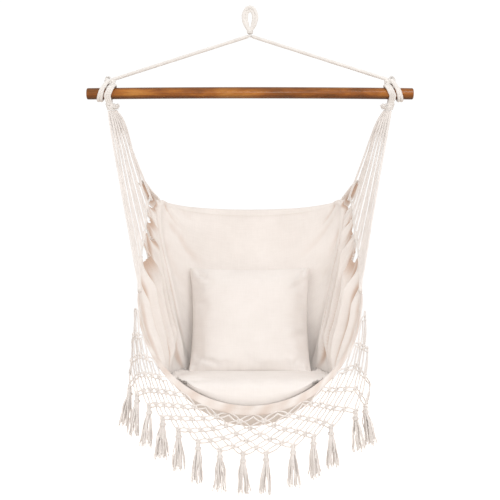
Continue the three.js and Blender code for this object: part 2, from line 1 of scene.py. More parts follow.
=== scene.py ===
# Hanging hammock chair, dressed around its frame. Lengths are in metres and +Z is up.
# The origin is the hook's seat in the hanging eye, +X is to the right and the sitter faces -Y.
import math
import random

import bmesh
import bpy
import numpy as np
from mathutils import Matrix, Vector, noise


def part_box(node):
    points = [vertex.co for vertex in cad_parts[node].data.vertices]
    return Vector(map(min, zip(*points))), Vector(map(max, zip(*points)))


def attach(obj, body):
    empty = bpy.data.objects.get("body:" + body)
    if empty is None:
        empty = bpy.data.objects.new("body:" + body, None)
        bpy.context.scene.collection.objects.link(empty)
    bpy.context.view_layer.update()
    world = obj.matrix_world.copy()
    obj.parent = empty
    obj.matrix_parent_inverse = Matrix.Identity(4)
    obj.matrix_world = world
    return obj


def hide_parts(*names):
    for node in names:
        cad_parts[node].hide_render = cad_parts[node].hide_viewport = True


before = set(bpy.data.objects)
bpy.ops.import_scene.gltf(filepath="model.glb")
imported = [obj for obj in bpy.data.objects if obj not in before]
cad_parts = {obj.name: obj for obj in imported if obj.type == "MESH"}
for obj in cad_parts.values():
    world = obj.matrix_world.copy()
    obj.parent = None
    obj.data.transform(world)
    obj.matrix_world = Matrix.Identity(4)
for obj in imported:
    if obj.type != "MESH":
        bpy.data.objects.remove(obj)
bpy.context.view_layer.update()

MM = 0.001
scene = bpy.context.scene

# Camera of the photograph
PHOTO_SPAN = 1533 * MM
CAMERA_DISTANCE = 2900 * MM
CAMERA_HEIGHT = -733 * MM
SENSOR = 36.0

# Rope and cord
EYE_DROP = 62 * MM
EYE_HALF_LIMB = 16 * MM
EYE_TOP = 8.5 * MM
THROAT_Z = -76.1 * MM
EDGE_ROPE = 4 * MM

# Spreader bar and hitches
BAR_Z = -252 * MM
BAR_RADIUS = 17.6 * MM
BAR_HALF = 500 * MM
BAR_RIM = 4 * MM
CLEW_X = 430 * MM
HITCH_OFFSET = 27 * MM
KNOT_HEIGHT = 38.6 * MM
CLEW_DROP = 48 * MM
BUNDLE_RADIUS = 46 * MM
CORDS_A_SIDE = 12
SIDE_NAMES = {-1: "left", 1: "right"}

# Sling: its angle runs from -QUARTER at the left edge to QUARTER at the right one
QUARTER = math.pi / 2
SLING_HALF_WIDTH = 328 * MM
BACK_DROP = 344 * MM
SEAT_DROP = 1000 * MM
BACK_REACH = 317 * MM
FRONT_REACH = 313 * MM
CLOTH_THICKNESS = 1.6 * MM
SEAT_GAP = 0.3 * MM
HEM_WIDTH = 26 * MM
NET_HALF_WIDTH = 346 * MM
NET_MIDDLE_DROP = 1036 * MM
NET_SIDE_DROP = 890 * MM
NET_SIDE_SKEW = 22 * MM
NET_LEAN = 10 * MM
NET_STANDOFF = 6 * MM
NET_SAG_POWER = 2.7
NET_COLUMNS = 14
NET_ROWS = 3
TASSEL_LENGTH = 112 * MM
TASSEL_HEAD = 5 * MM


# Helpers for meshes
def link(obj):
    scene.collection.objects.link(obj)
    return obj


def mesh_object(name, points, faces=(), edges=()):
    mesh = bpy.data.meshes.new(name)
    mesh.from_pydata([tuple(p) for p in points], edges, faces)
    mesh.update()
    return link(bpy.data.objects.new(name, mesh))


def smooth_shading(obj):
    obj.data.polygons.foreach_set("use_smooth", [True] * len(obj.data.polygons))
    return obj


def paint(obj, material):
    obj.data.materials.clear()
    obj.data.materials.append(material)
    return obj


def grid_faces(columns, rows):
    across = columns + 1
    corners = (np.arange(rows)[:, None] * across + np.arange(columns)[None, :]).ravel()
    return np.stack([corners, corners + 1, corners + 1 + across, corners + across], axis=1).tolist()


def tube_faces(rings, sides, start=0):
    """Faces between closed rings of points, then the two end faces."""
    faces = []
    for i in range(rings - 1):
        for k in range(sides):
            a, b = start + i * sides + k, start + i * sides + (k + 1) % sides
            faces.append((a, b, b + sides, a + sides))
    last = start + (rings - 1) * sides
    faces.append(tuple(reversed(range(start, start + sides))))
    faces.append(tuple(range(last, last + sides)))
    return faces


def normals_out(obj):
    mesh = bmesh.new()
    mesh.from_mesh(obj.data)
    bmesh.ops.recalc_face_normals(mesh, faces=mesh.faces)
    mesh.to_mesh(obj.data)
    mesh.free()


def store_weave(obj, places):
    """Where each point lies on the flat cloth, in metres, for its weave."""
    attribute = obj.data.attributes.new("weave", "FLOAT_VECTOR", "POINT")
    attribute.data.foreach_set("vector", np.asarray(places, np.float32).ravel())


def store_painted_shade(obj, shade_amounts):
    """Painted shade at each point, 0 to 1, deeper in folds: darker and warmer, where less light gets.
    """
    attribute = obj.data.attributes.new("painted_shade", "FLOAT", "POINT")
    attribute.data.foreach_set("value", np.asarray(shade_amounts, np.float32).ravel())


def store_two_sided_shade(obj, points, inward, inner_shade, outer_shade):
    """Painted shade of a thickened sheet, one amount for its inner face and one for its outer face; its
    first shell may be either.
    """
    place = np.empty(len(obj.data.vertices) * 3)
    obj.data.vertices.foreach_get("co", place)
    moved = place.reshape(-1, 3)[: inner_shade.size] - points.reshape(-1, 3)
    inner_first = np.sum(moved * inward.reshape(-1, 3)) > 0
    shells = (inner_shade, outer_shade) if inner_first else (outer_shade, inner_shade)
    store_painted_shade(obj, np.concatenate([shell.ravel() for shell in shells]))


def settled(obj):
    """The object with its modifiers made part of its mesh."""
    bpy.context.view_layer.update()
    graph = bpy.context.evaluated_depsgraph_get()
    mesh = bpy.data.meshes.new_from_object(obj.evaluated_get(graph))
    obj.modifiers.clear()
    obj.data = mesh
    return obj


def piece(obj, body, slot, *nodes):
    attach(obj, body)
    if nodes:
        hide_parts(*nodes)
    return obj


def travelled(points):
    """Length of a line of points up to each of them."""
    steps = np.linalg.norm(np.diff(points, axis=0), axis=1)
    return np.concatenate([[0], np.cumsum(steps)])


def mix(a, b, share):
    return a + (b - a) * share


def smooth(share):
    t = np.clip(share, 0, 1)
    return t * t * (3 - 2 * t)


def unit(vector):
    vector = np.asarray(vector, float)
    return vector / np.linalg.norm(vector, axis=-1, keepdims=True)


# A smooth line through a few points, read at even shares of its length
class Line:
    def __init__(self, points, samples=60):
        p = np.array(points, float)
        p = np.vstack([2 * p[0] - p[1], p, 2 * p[-1] - p[-2]])
        dense = []
        for i in range(1, len(p) - 2):
            p0, p1, p2, p3 = p[i - 1 : i + 3]
            pairs = ((p0, p1), (p1, p2), (p2, p3))
            d0, d1, d2 = (max(np.sqrt(np.linalg.norm(b - a)), 1e-6) for a, b in pairs)
            t1 = ((p1 - p0) / d0 - (p2 - p0) / (d0 + d1) + (p2 - p1) / d1) * d1
            t2 = ((p2 - p1) / d1 - (p3 - p1) / (d1 + d2) + (p3 - p2) / d2) * d1
            t = np.linspace(0, 1, samples, endpoint=False)[:, None]
            hermite = (2 * t**3 - 3 * t**2 + 1) * p1 + (t**3 - 2 * t**2 + t) * t1
            dense.append(hermite + (3 * t**2 - 2 * t**3) * p2 + (t**3 - t**2) * t2)
        self.points = np.vstack([*dense, p[-2:-1]])
        self.lengths = travelled(self.points)
        self.length = self.lengths[-1]

    def at(self, share):
        along = np.clip(share, 0, 1) * self.length
        return np.stack([np.interp(along, self.lengths, self.points[:, k]) for k in range(3)], axis=-1)


# Helpers for node trees
def add(tree, kind, inputs=None, **settings):
    node = tree.nodes.new(kind)
    for key, value in settings.items():
        setattr(node, key, value)
    for key, value in (inputs or {}).items():
        if isinstance(value, bpy.types.NodeSocket):
            tree.links.new(value, node.inputs[key])
        else:
            node.inputs[key].default_value = value
    return node


def math_node(tree, operation, a, b=0.0):
    return add(tree, "ShaderNodeMath", {0: a, 1: b}, operation=operation).outputs[0]


def vector_math(tree, operation, a, b):
    return add(tree, "ShaderNodeVectorMath", {0: a, 1: b}, operation=operation).outputs[0]


def scaled(tree, vector, factor):
    return add(tree, "ShaderNodeVectorMath", {0: vector, "Scale": factor}, operation="SCALE").outputs[0]


def shaping_tree(name, sizes):
    """A geometry tree with a geometry way in and out and named sizes."""
    tree = bpy.data.node_groups.new(name, "GeometryNodeTree")
    tree.interface.new_socket("Geometry", in_out="INPUT", socket_type="NodeSocketGeometry")
    tree.interface.new_socket("Geometry", in_out="OUTPUT", socket_type="NodeSocketGeometry")
    for size, value in sizes.items():
        kind = "NodeSocketInt" if isinstance(value, int) else "NodeSocketFloat"
        tree.interface.new_socket(size, in_out="INPUT", socket_type=kind).default_value = value
    tree.interface.new_socket("Material", in_out="INPUT", socket_type="NodeSocketMaterial")
    return tree, tree.nodes.new("NodeGroupInput").outputs, tree.nodes.new("NodeGroupOutput")


def shaped(obj, tree, material, sizes):
    """The object's lines turned into a finished mesh by a geometry tree."""
    modifier = obj.modifiers.new("shape", "NODES")
    modifier.node_group = tree
    wanted = {"Material": material, **sizes}
    for item in tree.interface.items_tree:
        if item.in_out == "INPUT" and item.name in wanted:
            modifier[item.identifier] = wanted[item.name]
    return settled(obj)


# Rope laid up from strands: each path becomes strands that turn round it
def laid(strands, strand_radius, spread, lay=30, step=4, sides=6):
    """Sizes of one kind of rope, given in millimetres."""
    return {
        "Strands": strands,
        "Strand radius": strand_radius * MM,
        "Spread": spread * MM,
        "Lay": lay * MM,
        "Step": step * MM,
        "Sides": sides,
    }


EYE_ROPE = laid(4, 2.9, 3.1, lay=34, step=2)
THROAT_SEIZING = laid(3, 0.85, 0.8, lay=7, step=1)
THROAT_ROPE = laid(3, 2.7, 2.5, lay=26, step=2)
CROSSING_ROPE = laid(3, 1.75, 1.7, lay=24, step=1.5)
LEG_ROPE = laid(6, 2.3, 3.3, lay=46)
HITCH_ROPE = laid(5, 2.5, 2.6, lay=40, step=2.5)
HITCH_KNOT_ROPE = laid(4, 2.4, 2.2, step=2)
FRAYED_THREAD = laid(1, 0.5, 0, step=2, sides=4)
CLEW_ROPE = laid(4, 2.2, 2.1, step=2.5)
CLEW_BINDING = laid(3, 1.7, 1.5, lay=20, step=2)
SUSPENSION_CORD = laid(3, 1.5, 1.0, lay=13, sides=5)
HEM_ROPE = laid(3, 2.0, 1.9, lay=22, step=3)
STITCH_THREAD = laid(1, 0.45, 0, sides=4)
NET_CORD = laid(3, 1.55, 1.15, lay=13, step=3.5, sides=4)
NET_KNOT_CORD = laid(2, 1.7, 1.1, lay=11, step=2, sides=5)
TASSEL_CORD = laid(2, 1.5, 1.15, lay=11, sides=4)
TASSEL_TIP = laid(1, 0.32, 0, step=3, sides=3)
TASSEL_BINDING = laid(2, 0.95, 0.75, lay=7, step=2, sides=4)
ZIP_COIL = laid(2, 0.9, 1.1, lay=3.2, step=0.8, sides=4)


def rope_tree():
    tree, given, out = shaping_tree("laid rope", laid(3, 2.4, 2.4))
    path = add(tree, "GeometryNodeMeshToCurve", {"Mesh": given["Geometry"]})
    even = add(
        tree,
        "GeometryNodeResampleCurve",
        {"Curve": path.outputs[0], "Length": given["Step"]},
        mode="LENGTH",
    )
    copies = add(
        tree,
        "GeometryNodeDuplicateElements",
        {"Geometry": even.outputs[0], "Amount": given["Strands"]},
        domain="SPLINE",
    )
    length = tree.nodes.new("GeometryNodeSplineParameter").outputs["Length"]
    share = math_node(tree, "DIVIDE", copies.outputs["Duplicate Index"], given["Strands"])
    turns = math_node(tree, "ADD", share, math_node(tree, "DIVIDE", length, given["Lay"]))
    angle = math_node(tree, "MULTIPLY", turns, math.tau)
    normal = tree.nodes.new("GeometryNodeInputNormal").outputs[0]
    tangent = tree.nodes.new("GeometryNodeInputTangent").outputs[0]
    side = vector_math(tree, "CROSS_PRODUCT", tangent, normal)
    across = scaled(tree, normal, math_node(tree, "COSINE", angle))
    beside = scaled(tree, side, math_node(tree, "SINE", angle))
    shift = scaled(tree, vector_math(tree, "ADD", across, beside), given["Spread"])
    moved = add(tree, "GeometryNodeSetPosition", {"Geometry": copies.outputs[0], "Offset": shift})
    ring = add(
        tree,
        "GeometryNodeCurvePrimitiveCircle",
        {"Resolution": given["Sides"], "Radius": given["Strand radius"]},
        mode="RADIUS",
    )
    tube = add(
        tree,
        "GeometryNodeCurveToMesh",
        {"Curve": moved.outputs[0], "Profile Curve": ring.outputs[0], "Fill Caps": True},
    )
    soft = add(tree, "GeometryNodeSetShadeSmooth", {"Geometry": tube.outputs[0]})
    real = add(tree, "GeometryNodeRealizeInstances", {"Geometry": soft.outputs[0]})
    dressed = add(
        tree,
        "GeometryNodeSetMaterial",
        {"Geometry": real.outputs[0], "Material": given["Material"]},
    )
    tree.links.new(dressed.outputs[0], out.inputs[0])
    return tree


ROPE_TREE = rope_tree()


def ropes(name, paths, material, sizes):
    """One mesh of laid ropes along the given paths."""
    points, edges = [], []
    for path in paths:
        start = len(points)
        points += [tuple(p) for p in path]
        edges += [(i, i + 1) for i in range(start, len(points) - 1)]
    return shaped(mesh_object(name, points, edges=edges), ROPE_TREE, material, sizes)


# Materials: every one is made from its object's own coordinates or a stored attribute
class Shade:
    """A material under construction."""

    def __init__(self, name, roughness, sheen=0.0, coat=0.0):
        self.material = bpy.data.materials.new(name)
        self.material.use_nodes = True
        self.tree = self.material.node_tree
        self.surface = self.tree.nodes["Principled BSDF"]
        self.surface.inputs["Roughness"].default_value = roughness
        self.surface.inputs["Sheen Weight"].default_value = sheen
        self.surface.inputs["Coat Weight"].default_value = coat
        self.place = self.tree.nodes.new("ShaderNodeTexCoord").outputs["Object"]

    def math(self, operation, a, b=0.0):
        return math_node(self.tree, operation, a, b)

    def stretched(self, source, scale):
        return add(self.tree, "ShaderNodeMapping", {"Vector": source, "Scale": scale}).outputs[0]

    def attribute(self, name, output="Vector"):
        return add(self.tree, "ShaderNodeAttribute", attribute_name=name).outputs[output]

    def noise(self, source, scale, detail=3.0, roughness=0.5):
        given = {"Vector": source, "Scale": scale, "Detail": detail, "Roughness": roughness}
        return add(self.tree, "ShaderNodeTexNoise", given).outputs["Fac"]

    def ramp(self, factor, *stops):
        node = add(self.tree, "ShaderNodeValToRGB", {"Fac": factor})
        steps = node.color_ramp.elements
        while len(steps) < len(stops):
            steps.new(1.0)
        for step, (at, colour) in zip(steps, stops):
            step.position = at
            step.color = (*colour, 1.0)
        return node.outputs["Color"]

    def grey(self, factor, low, high, first=0.0, last=1.0):
        given = {"Value": factor, "From Min": low, "From Max": high, "To Min": first, "To Max": last}
        return add(self.tree, "ShaderNodeMapRange", given).outputs["Result"]

    def bands(self, source, axis, distance):
        split = add(self.tree, "ShaderNodeSeparateXYZ", {"Vector": source}).outputs[axis]
        return self.math("SINE", self.math("MULTIPLY", split, math.tau / distance))

    def mixed(self, factor, first, second, blend="MIX"):
        given = {"Factor": factor, 6: first, 7: second}
        return add(self.tree, "ShaderNodeMix", given, data_type="RGBA", blend_type=blend).outputs[2]

    def colour(self, socket):
        self.tree.links.new(socket, self.surface.inputs["Base Color"])

    def rough(self, socket):
        self.tree.links.new(socket, self.surface.inputs["Roughness"])

    def bump(self, height, distance, strength):
        given = {"Height": height, "Distance": distance, "Strength": strength}
        previous = self.surface.inputs["Normal"].links
        if previous:
            given["Normal"] = previous[0].from_socket
        node = add(self.tree, "ShaderNodeBump", given)
        self.tree.links.new(node.outputs["Normal"], self.surface.inputs["Normal"])


# Warm dark brown for the painted shade in the cloth's folds, slits and hollows
PAINTED_SHADE_COLOUR = (0.55, 0.36, 0.25, 1.0)


def cloth_material(name, low, high, yarn):
    """Plain weave: yarns over and under, a few thicker ones, soft patches, and painted shade in warm
    dark brown where the stored shade amount is set.
    """
    shade = Shade(name, 0.92, sheen=0.12)
    weave = shade.attribute("weave")
    warp = shade.bands(weave, 0, 2 * yarn)
    weft = shade.bands(weave, 1, 2 * yarn)
    crossing = shade.math("MULTIPLY", warp, weft)
    slubs = shade.noise(shade.stretched(weave, (1 / (4 * yarn), 1 / (60 * yarn), 1)), 1.0, 2.0)
    picks = shade.noise(shade.stretched(weave, (1 / (60 * yarn), 1 / (4 * yarn), 1)), 1.0, 2.0)
    thick = shade.math("ADD", slubs, picks)
    patches = shade.noise(shade.place, 9.0, 4.0, 0.6)
    tone = shade.math("ADD", shade.math("MULTIPLY", thick, 0.35), patches)
    open_cloth = shade.ramp(shade.grey(tone, 0.55, 1.15), (0.0, low), (1.0, high))
    # Painted shade: the cloth colour is mixed towards warm dark brown by the stored shade amount
    depth = shade.attribute("painted_shade", "Fac")
    shade.colour(shade.mixed(shade.math("MULTIPLY", depth, 0.8), open_cloth, PAINTED_SHADE_COLOUR))
    shade.rough(shade.grey(patches, 0.3, 0.7, 0.86, 0.96))
    height = shade.math("ADD", crossing, shade.math("MULTIPLY", thick, 1.6))
    shade.bump(height, 0.12 * MM, 0.5)
    return shade.material


def cord_material(name, low, high, fuzz):
    """Twisted cotton: fine raised fibres over soft light and dark patches."""
    shade = Shade(name, 0.93, sheen=0.2)
    fibres = shade.noise(shade.place, 900.0, 2.0, 0.7)
    patches = shade.noise(shade.place, 26.0, 3.0, 0.6)
    tone = shade.math("ADD", shade.math("MULTIPLY", fibres, 0.5), patches)
    shade.colour(shade.ramp(shade.grey(tone, 0.5, 1.0), (0.0, low), (1.0, high)))
    shade.rough(shade.grey(patches, 0.3, 0.7, 0.88, 0.98))
    shade.bump(fibres, fuzz, 0.6)
    return shade.material


def wood_material():
    """Stained hardwood under varnish: long grain, reddish and olive patches, and painted shade towards
    the top and bottom.
    """
    shade = Shade("varnished hardwood", 0.3, coat=0.2)
    shade.surface.inputs["Specular IOR Level"].default_value = 0.3
    shade.surface.inputs["Coat Roughness"].default_value = 0.18
    grain = shade.stretched(shade.place, (1.6, 26.0, 26.0))
    warp = shade.noise(grain, 2.2, 4.0, 0.6)
    streaks = shade.noise(shade.stretched(shade.place, (5.0, 160.0, 160.0)), 1.8, 5.0, 0.65)
    patches = shade.noise(shade.stretched(shade.place, (1.0, 4.0, 4.0)), 8.0, 4.0, 0.6)
    stain = shade.ramp(
        shade.grey(patches, 0.32, 0.68),
        (0.0, (0.16, 0.06, 0.008)),
        (0.35, (0.3, 0.095, 0.01)),
        (0.7, (0.46, 0.17, 0.02)),
        (1.0, (0.58, 0.26, 0.05)),
    )
    dark, light = (0.5, 0.42, 0.36), (1.15, 1.1, 1.05)
    lines = shade.ramp(shade.grey(streaks, 0.3, 0.7), (0.0, dark), (1.0, light))
    colour = shade.mixed(0.75, stain, lines, "MULTIPLY")
    colour = shade.mixed(shade.grey(warp, 0.45, 0.75, 0.0, 0.35), colour, (0.42, 0.14, 0.03, 1.0))
    # Painted shade: darker towards the bar's top and bottom, by height from its axis
    height = add(shade.tree, "ShaderNodeSeparateXYZ", {"Vector": shade.place}).outputs["Z"]
    off_middle = shade.math("ABSOLUTE", shade.math("SUBTRACT", height, BAR_Z))
    rim = shade.grey(off_middle, 0.35 * BAR_RADIUS, 1.02 * BAR_RADIUS, 0.0, 0.85)
    shade.colour(shade.mixed(rim, colour, (0.05, 0.016, 0.005, 1.0)))
    shade.rough(shade.grey(streaks, 0.3, 0.7, 0.2, 0.34))
    shade.bump(streaks, 0.15 * MM, 0.5)
    shade.bump(shade.noise(shade.place, 60.0, 3.0), 0.5 * MM, 0.5)
    return shade.material


def floor_material():
    shade = Shade("pale studio floor", 0.85)
    shade.surface.inputs["Emission Color"].default_value = (1, 1, 1, 1)
    seen = add(shade.tree, "ShaderNodeLightPath").outputs["Is Camera Ray"]
    glow = shade.math("MULTIPLY", seen, 0.9)
    shade.tree.links.new(glow, shade.surface.inputs["Emission Strength"])
    patches = shade.noise(shade.place, 3.0, 3.0)
    shade.colour(shade.ramp(patches, (0.0, (0.72, 0.65, 0.59)), (1.0, (0.78, 0.71, 0.65))))
    return shade.material


canvas = cloth_material("cotton canvas", (0.83, 0.785, 0.75), (0.93, 0.89, 0.86), 0.9 * MM)
cushion_cloth = cloth_material("cushion cotton", (0.84, 0.80, 0.77), (0.92, 0.885, 0.86), 0.8 * MM)
white_rope = cord_material("white cotton rope", (0.8, 0.775, 0.75), (0.9, 0.885, 0.865), 0.5 * MM)
cotton_cord = cord_material("natural cotton cord", (0.85, 0.815, 0.79), (0.96, 0.93, 0.91), 0.35 * MM)
zip_tape = cord_material("woven zip tape", (0.66, 0.60, 0.53), (0.74, 0.69, 0.62), 0.1 * MM)
sewing_thread = cord_material("sewing thread", (0.74, 0.68, 0.61), (0.86, 0.81, 0.75), 0.1 * MM)
varnished_wood = wood_material()


# Shape of the sling
DEPTH_OF_SLING = FRONT_REACH + BACK_REACH
FALL_OF_SLING = SEAT_DROP - BACK_DROP
SLING_STEP = 2e-3

# Middle line from the back to the front edge: shares of the sling's depth and of its fall
MIDDLE_SHARES = [
    (1, 0), (0.93, 0.235), (0.817, 0.54), (0.754, 0.74), (0.667, 0.89),
    (0.524, 0.982), (0.333, 1), (0.159, 0.95), (0, 0.86),
]

# Side edge: shares of the half width, of the depth and of the fall
SIDE_SHARES = [
    (0.884, 0.873, -0.046), (0.995, 0.762, -0.03), (0.997, 0.603, 0.098),
    (1, 0.349, 0.31), (0.976, 0.238, 0.396),
]


def sling_place(across, reach, fall):
    depth = DEPTH_OF_SLING * reach - FRONT_REACH
    return (SLING_HALF_WIDTH * across, depth, BAR_Z - BACK_DROP - FALL_OF_SLING * fall)


middle_line = Line([sling_place(0, reach, fall) for reach, fall in MIDDLE_SHARES])
side_line = Line([sling_place(*row) for row in SIDE_SHARES])


def sling_point(angle, v):
    """Place on the sling from its angle across and its share v, 0 at the back and 1 in front."""
    side = side_line.at(v)
    middle = middle_line.at(v)
    sag = np.cos(angle)
    y = mix(side[..., 1], middle[..., 1], sag)
    z = mix(side[..., 2], middle[..., 2], sag)
    return np.stack([side[..., 0] * np.sin(angle), y, z], axis=-1)


def sling_normal(angle, v):
    ahead, behind = np.clip(v + SLING_STEP, 0, 1), np.clip(v - SLING_STEP, 0, 1)
    along = sling_point(angle, ahead) - sling_point(angle, behind)
    across = sling_point(angle + SLING_STEP, v) - sling_point(angle - SLING_STEP, v)
    return unit(np.cross(along, across))


def edge_rope_point(side, v, reach=SEAT_GAP + EDGE_ROPE / math.cos(math.pi / 8)):
    v = np.asarray(v, float)
    edge = side_line.at(v)
    ahead, behind = np.clip(v + SLING_STEP, 0, 1), np.clip(v - SLING_STEP, 0, 1)
    tangent = unit(side_line.at(ahead) - side_line.at(behind))
    outward = (edge - middle_line.at(v)) * (0, 1, 1)
    outward = unit(outward - tangent * np.sum(outward * tangent, axis=-1, keepdims=True))
    return (edge + outward * reach) * (side, 1, 1)


# Hanging eye, throat and bridle
EYE_OUTLINE = [(-0.12, 0), (0.6, 0.1), (0.97, 0.32), (0.93, 0.52), (0.58, 0.78), (0.12, 1)]
EYE_MIDDLE = -20 * MM
EYE_SPREAD = 4.2 * MM
EYE_STAGGER = 1.6 * MM
FRAY_REACH = 8 * MM
FRAY_SPREAD = 0.8


def arc(centre, radius, first, last, count, across=(1, 0, 0), upward=(0, 0, 1)):
    angles = np.radians(np.linspace(first, last, count))[:, None]
    return np.array(centre) + radius * (np.sin(angles) * across + np.cos(angles) * upward)


def winding(centre, radius, count, upward):
    """One full turn of rope round an upright bundle."""
    return arc(centre, radius, 0, 360, count, upward=upward)


def eye_path(side):
    span = EYE_DROP + EYE_TOP
    points = [(side * EYE_HALF_LIMB * x, 0, EYE_TOP - span * z) for x, z in EYE_OUTLINE]
    return Line(points).at(np.linspace(0, 1, 48))


def eye_loop(turn):
    """One of the two ropes that lie side by side round the hook."""
    left, right = eye_path(-1), eye_path(1)
    whole = np.vstack([left[left[:, 0] < 0][::-1], right[right[:, 0] > 0]])
    fade = smooth((whole[:, 2] + EYE_DROP) / (0.35 * EYE_DROP))[:, None]
    shift = unit(whole * (1, 0, 1) - (0, 0, EYE_MIDDLE))
    return whole + turn * shift * EYE_SPREAD * fade - turn * np.array((0, EYE_STAGGER, 0))


eye_rope = ropes("eye_rope", [eye_loop(-1), eye_loop(1)], white_rope, EYE_ROPE)
piece(eye_rope, "eye", "white_rope", "hanging_eye")

throat_turns = [
    winding((0, 0, THROAT_Z + 8.2 * MM + 2.8 * MM * turn), 8.4 * MM, 24, (0, 0.8, 0.08))
    for turn in range(3)
]
throat_legs = [
    [(x * MM, 0, -EYE_DROP), (0.5 * x * MM, 0, THROAT_Z + 6.6 * MM)]
    for x in (-3.6, 3.6)
]
throat_seizing = ropes("throat_seizing", throat_turns, white_rope, THROAT_SEIZING)
throat_core = ropes("throat_core", throat_legs, white_rope, THROAT_ROPE)
piece(throat_seizing, "throat", "white_rope", "throat_knot")
piece(throat_core, "throat", "white_rope", "throat_knot")


def crossing_path(side):
    points = [
        (side * -3.4 * MM, 1.8 * side * MM, THROAT_Z + 5 * MM),
        (0, 1.8 * side * MM, THROAT_Z),
        (side * 4.6 * MM, side * MM, THROAT_Z - 3.2 * MM),
    ]
    return Line(points).at(np.linspace(0, 1, 8))


crossing_paths = [crossing_path(-1), crossing_path(1)]
leg_crossing = ropes("leg_crossing", crossing_paths, white_rope, CROSSING_ROPE)
piece(leg_crossing, "crossing", "white_rope", "crossing_turn")


def fuzzy_end(name, centre, direction, count, seed):
    """Loose frayed threads that stand out of a cut rope end."""
    pick = random.Random(seed)
    direction = unit(direction)
    threads = []
    for _ in range(count):
        lean = np.array([pick.gauss(0, FRAY_SPREAD) for _ in range(3)])
        heading = unit(direction + lean)
        start = np.array(centre) + lean * FRAY_REACH * 0.25
        middle = start + heading * FRAY_REACH * 0.5
        tip = middle + unit(heading + 0.6 * lean) * FRAY_REACH * pick.uniform(0.3, 0.6)
        threads.append(np.array([start, middle, tip]))
    return ropes(name, threads, white_rope, FRAYED_THREAD)


def hitch_path(side, offset):
    """Rope that turns round the bar, from the front of the knot to its back."""
    angles = np.linspace(12, 348, 40)
    from_knot = np.minimum(abs(angles), abs(360 - angles))
    out = smooth((from_knot - 4) / 66)
    lift = 1 - smooth((from_knot - 18) / 48)
    reach = mix(BAR_RADIUS + 5.3 * MM, KNOT_HEIGHT, lift)
    turn = np.radians(angles)
    x = side * (CLEW_X + offset * out * (0.8 - 0.25 * np.cos(turn)))
    return np.stack([x, -reach * np.sin(turn), BAR_Z + reach * np.cos(turn)], axis=-1)


def knot_lump(centre, size, seed):
    """A tight knot as one rope wound over itself."""
    pick = random.Random(seed)
    t = np.linspace(0, 2 * math.tau, 90)
    tilt = pick.uniform(0, math.tau)
    x = np.sin(t + tilt) * (0.78 + 0.22 * np.cos(1.5 * t))
    y = np.cos(t + tilt) * 0.62
    z = 0.62 * np.sin(1.5 * t + tilt)
    return np.array(centre) + size * np.stack([x, y, z], axis=-1)


for side, name in SIDE_NAMES.items():
    knot = np.array((side * CLEW_X, 0, BAR_Z + KNOT_HEIGHT))
    throat = np.array((0, 0, THROAT_Z))
    run = unit(knot - throat)
    leg = [throat + run * 6.9 * MM, throat + run * 0.25, knot - run * 6 * MM]
    turns = [hitch_path(side, HITCH_OFFSET + shift) for shift in (6 * MM, -2.5 * MM)]
    lumps = [
        knot_lump(knot + np.array((side * 4, -2, -4)) * MM, 9.5 * MM, 5 + side),
        knot_lump(knot + np.array((side * -7, 0, -7)) * MM, 8 * MM, 15 + side),
    ]
    rope_end = knot + (side * 4 * MM, 0, 4 * MM)
    leg_rope = ropes(f"bridle_rope_{name}", [leg], white_rope, LEG_ROPE)
    hitch = ropes(f"bar_hitch_{name}", turns, white_rope, HITCH_ROPE)
    top_knot = ropes(f"hitch_knot_{name}", lumps, white_rope, HITCH_KNOT_ROPE)
    fuzz = fuzzy_end(f"hitch_fuzz_{name}", rope_end, (side, -0.4, 0.8), 110, 11)
    for made in (leg_rope, hitch, top_knot, fuzz):
        piece(made, "yoke", "white_rope", f"bridle_leg_{name}")


# Spreader bar, turned round and very slightly bowed
BAR_SIDES = 96
BAR_BOW = 3.2 * MM
BAR_SET = 2.2 * MM


def turned_bar():
    inner = BAR_HALF - BAR_RIM
    rim = [(math.sin(t), math.cos(t)) for t in np.radians(np.linspace(0, 86, 8))]
    right = [(inner + BAR_RIM * out, BAR_RADIUS - BAR_RIM * (1 - across)) for out, across in rim]
    straight = [(x, BAR_RADIUS) for x in np.linspace(-inner, inner, 141)[1:-1]]
    rings = [(-x, radius) for x, radius in reversed(right)] + straight + right
    points = []
    for x, radius in rings:
        worn = radius * (0.994 + 0.006 * noise.noise(Vector((x * 9, 0, 3))))
        height = BAR_Z - BAR_SET + BAR_BOW * (1 - (x / BAR_HALF) ** 2)
        for k in range(BAR_SIDES):
            angle = math.tau * k / BAR_SIDES
            points.append((x, worn * math.cos(angle), height + worn * math.sin(angle)))
    bar = mesh_object("bar", points, tube_faces(len(rings), BAR_SIDES))
    return smooth_shading(paint(bar, varnished_wood))


piece(turned_bar(), "yoke", "varnished_wood", "spreader_bar")


# Clews: the loop over the bar, its knot with a frayed stub, and the fan of cords
CORD_SHARES = (np.arange(CORDS_A_SIDE) + 0.5) / CORDS_A_SIDE
CORD_ROW = 3 * MM
CORD_APART = 3.3 * MM
CORD_WAVER = 0.9 * MM
CORD_TURN = 5.6 * MM
CLEW_APART = 6.6 * MM
CORNER_ANGLE = 1.5
CORNER_SHARE = 0.035
CORNER_OUT = 21 * MM
CORNER_RISE = 82 * MM


def turned_about(vector, axis, angle):
    turned = vector * math.cos(angle) + np.cross(axis, vector) * math.sin(angle)
    return turned + axis * (axis @ vector) * (1 - math.cos(angle))


class Clew:
    """The gathered bundle under one end of the bar, and the fan in which its cords leave."""

    def __init__(self, side):
        self.side = side
        self.centre = np.array((side * CLEW_X, 0, BAR_Z - CLEW_DROP))
        self.first, last = (unit(edge_rope_point(side, v) - self.centre) for v in (0, 1))
        self.normal = unit(np.cross(self.first, last))
        self.spread = math.acos(self.first @ last)

    def direction(self, share):
        return turned_about(self.first, self.normal, self.spread * share)


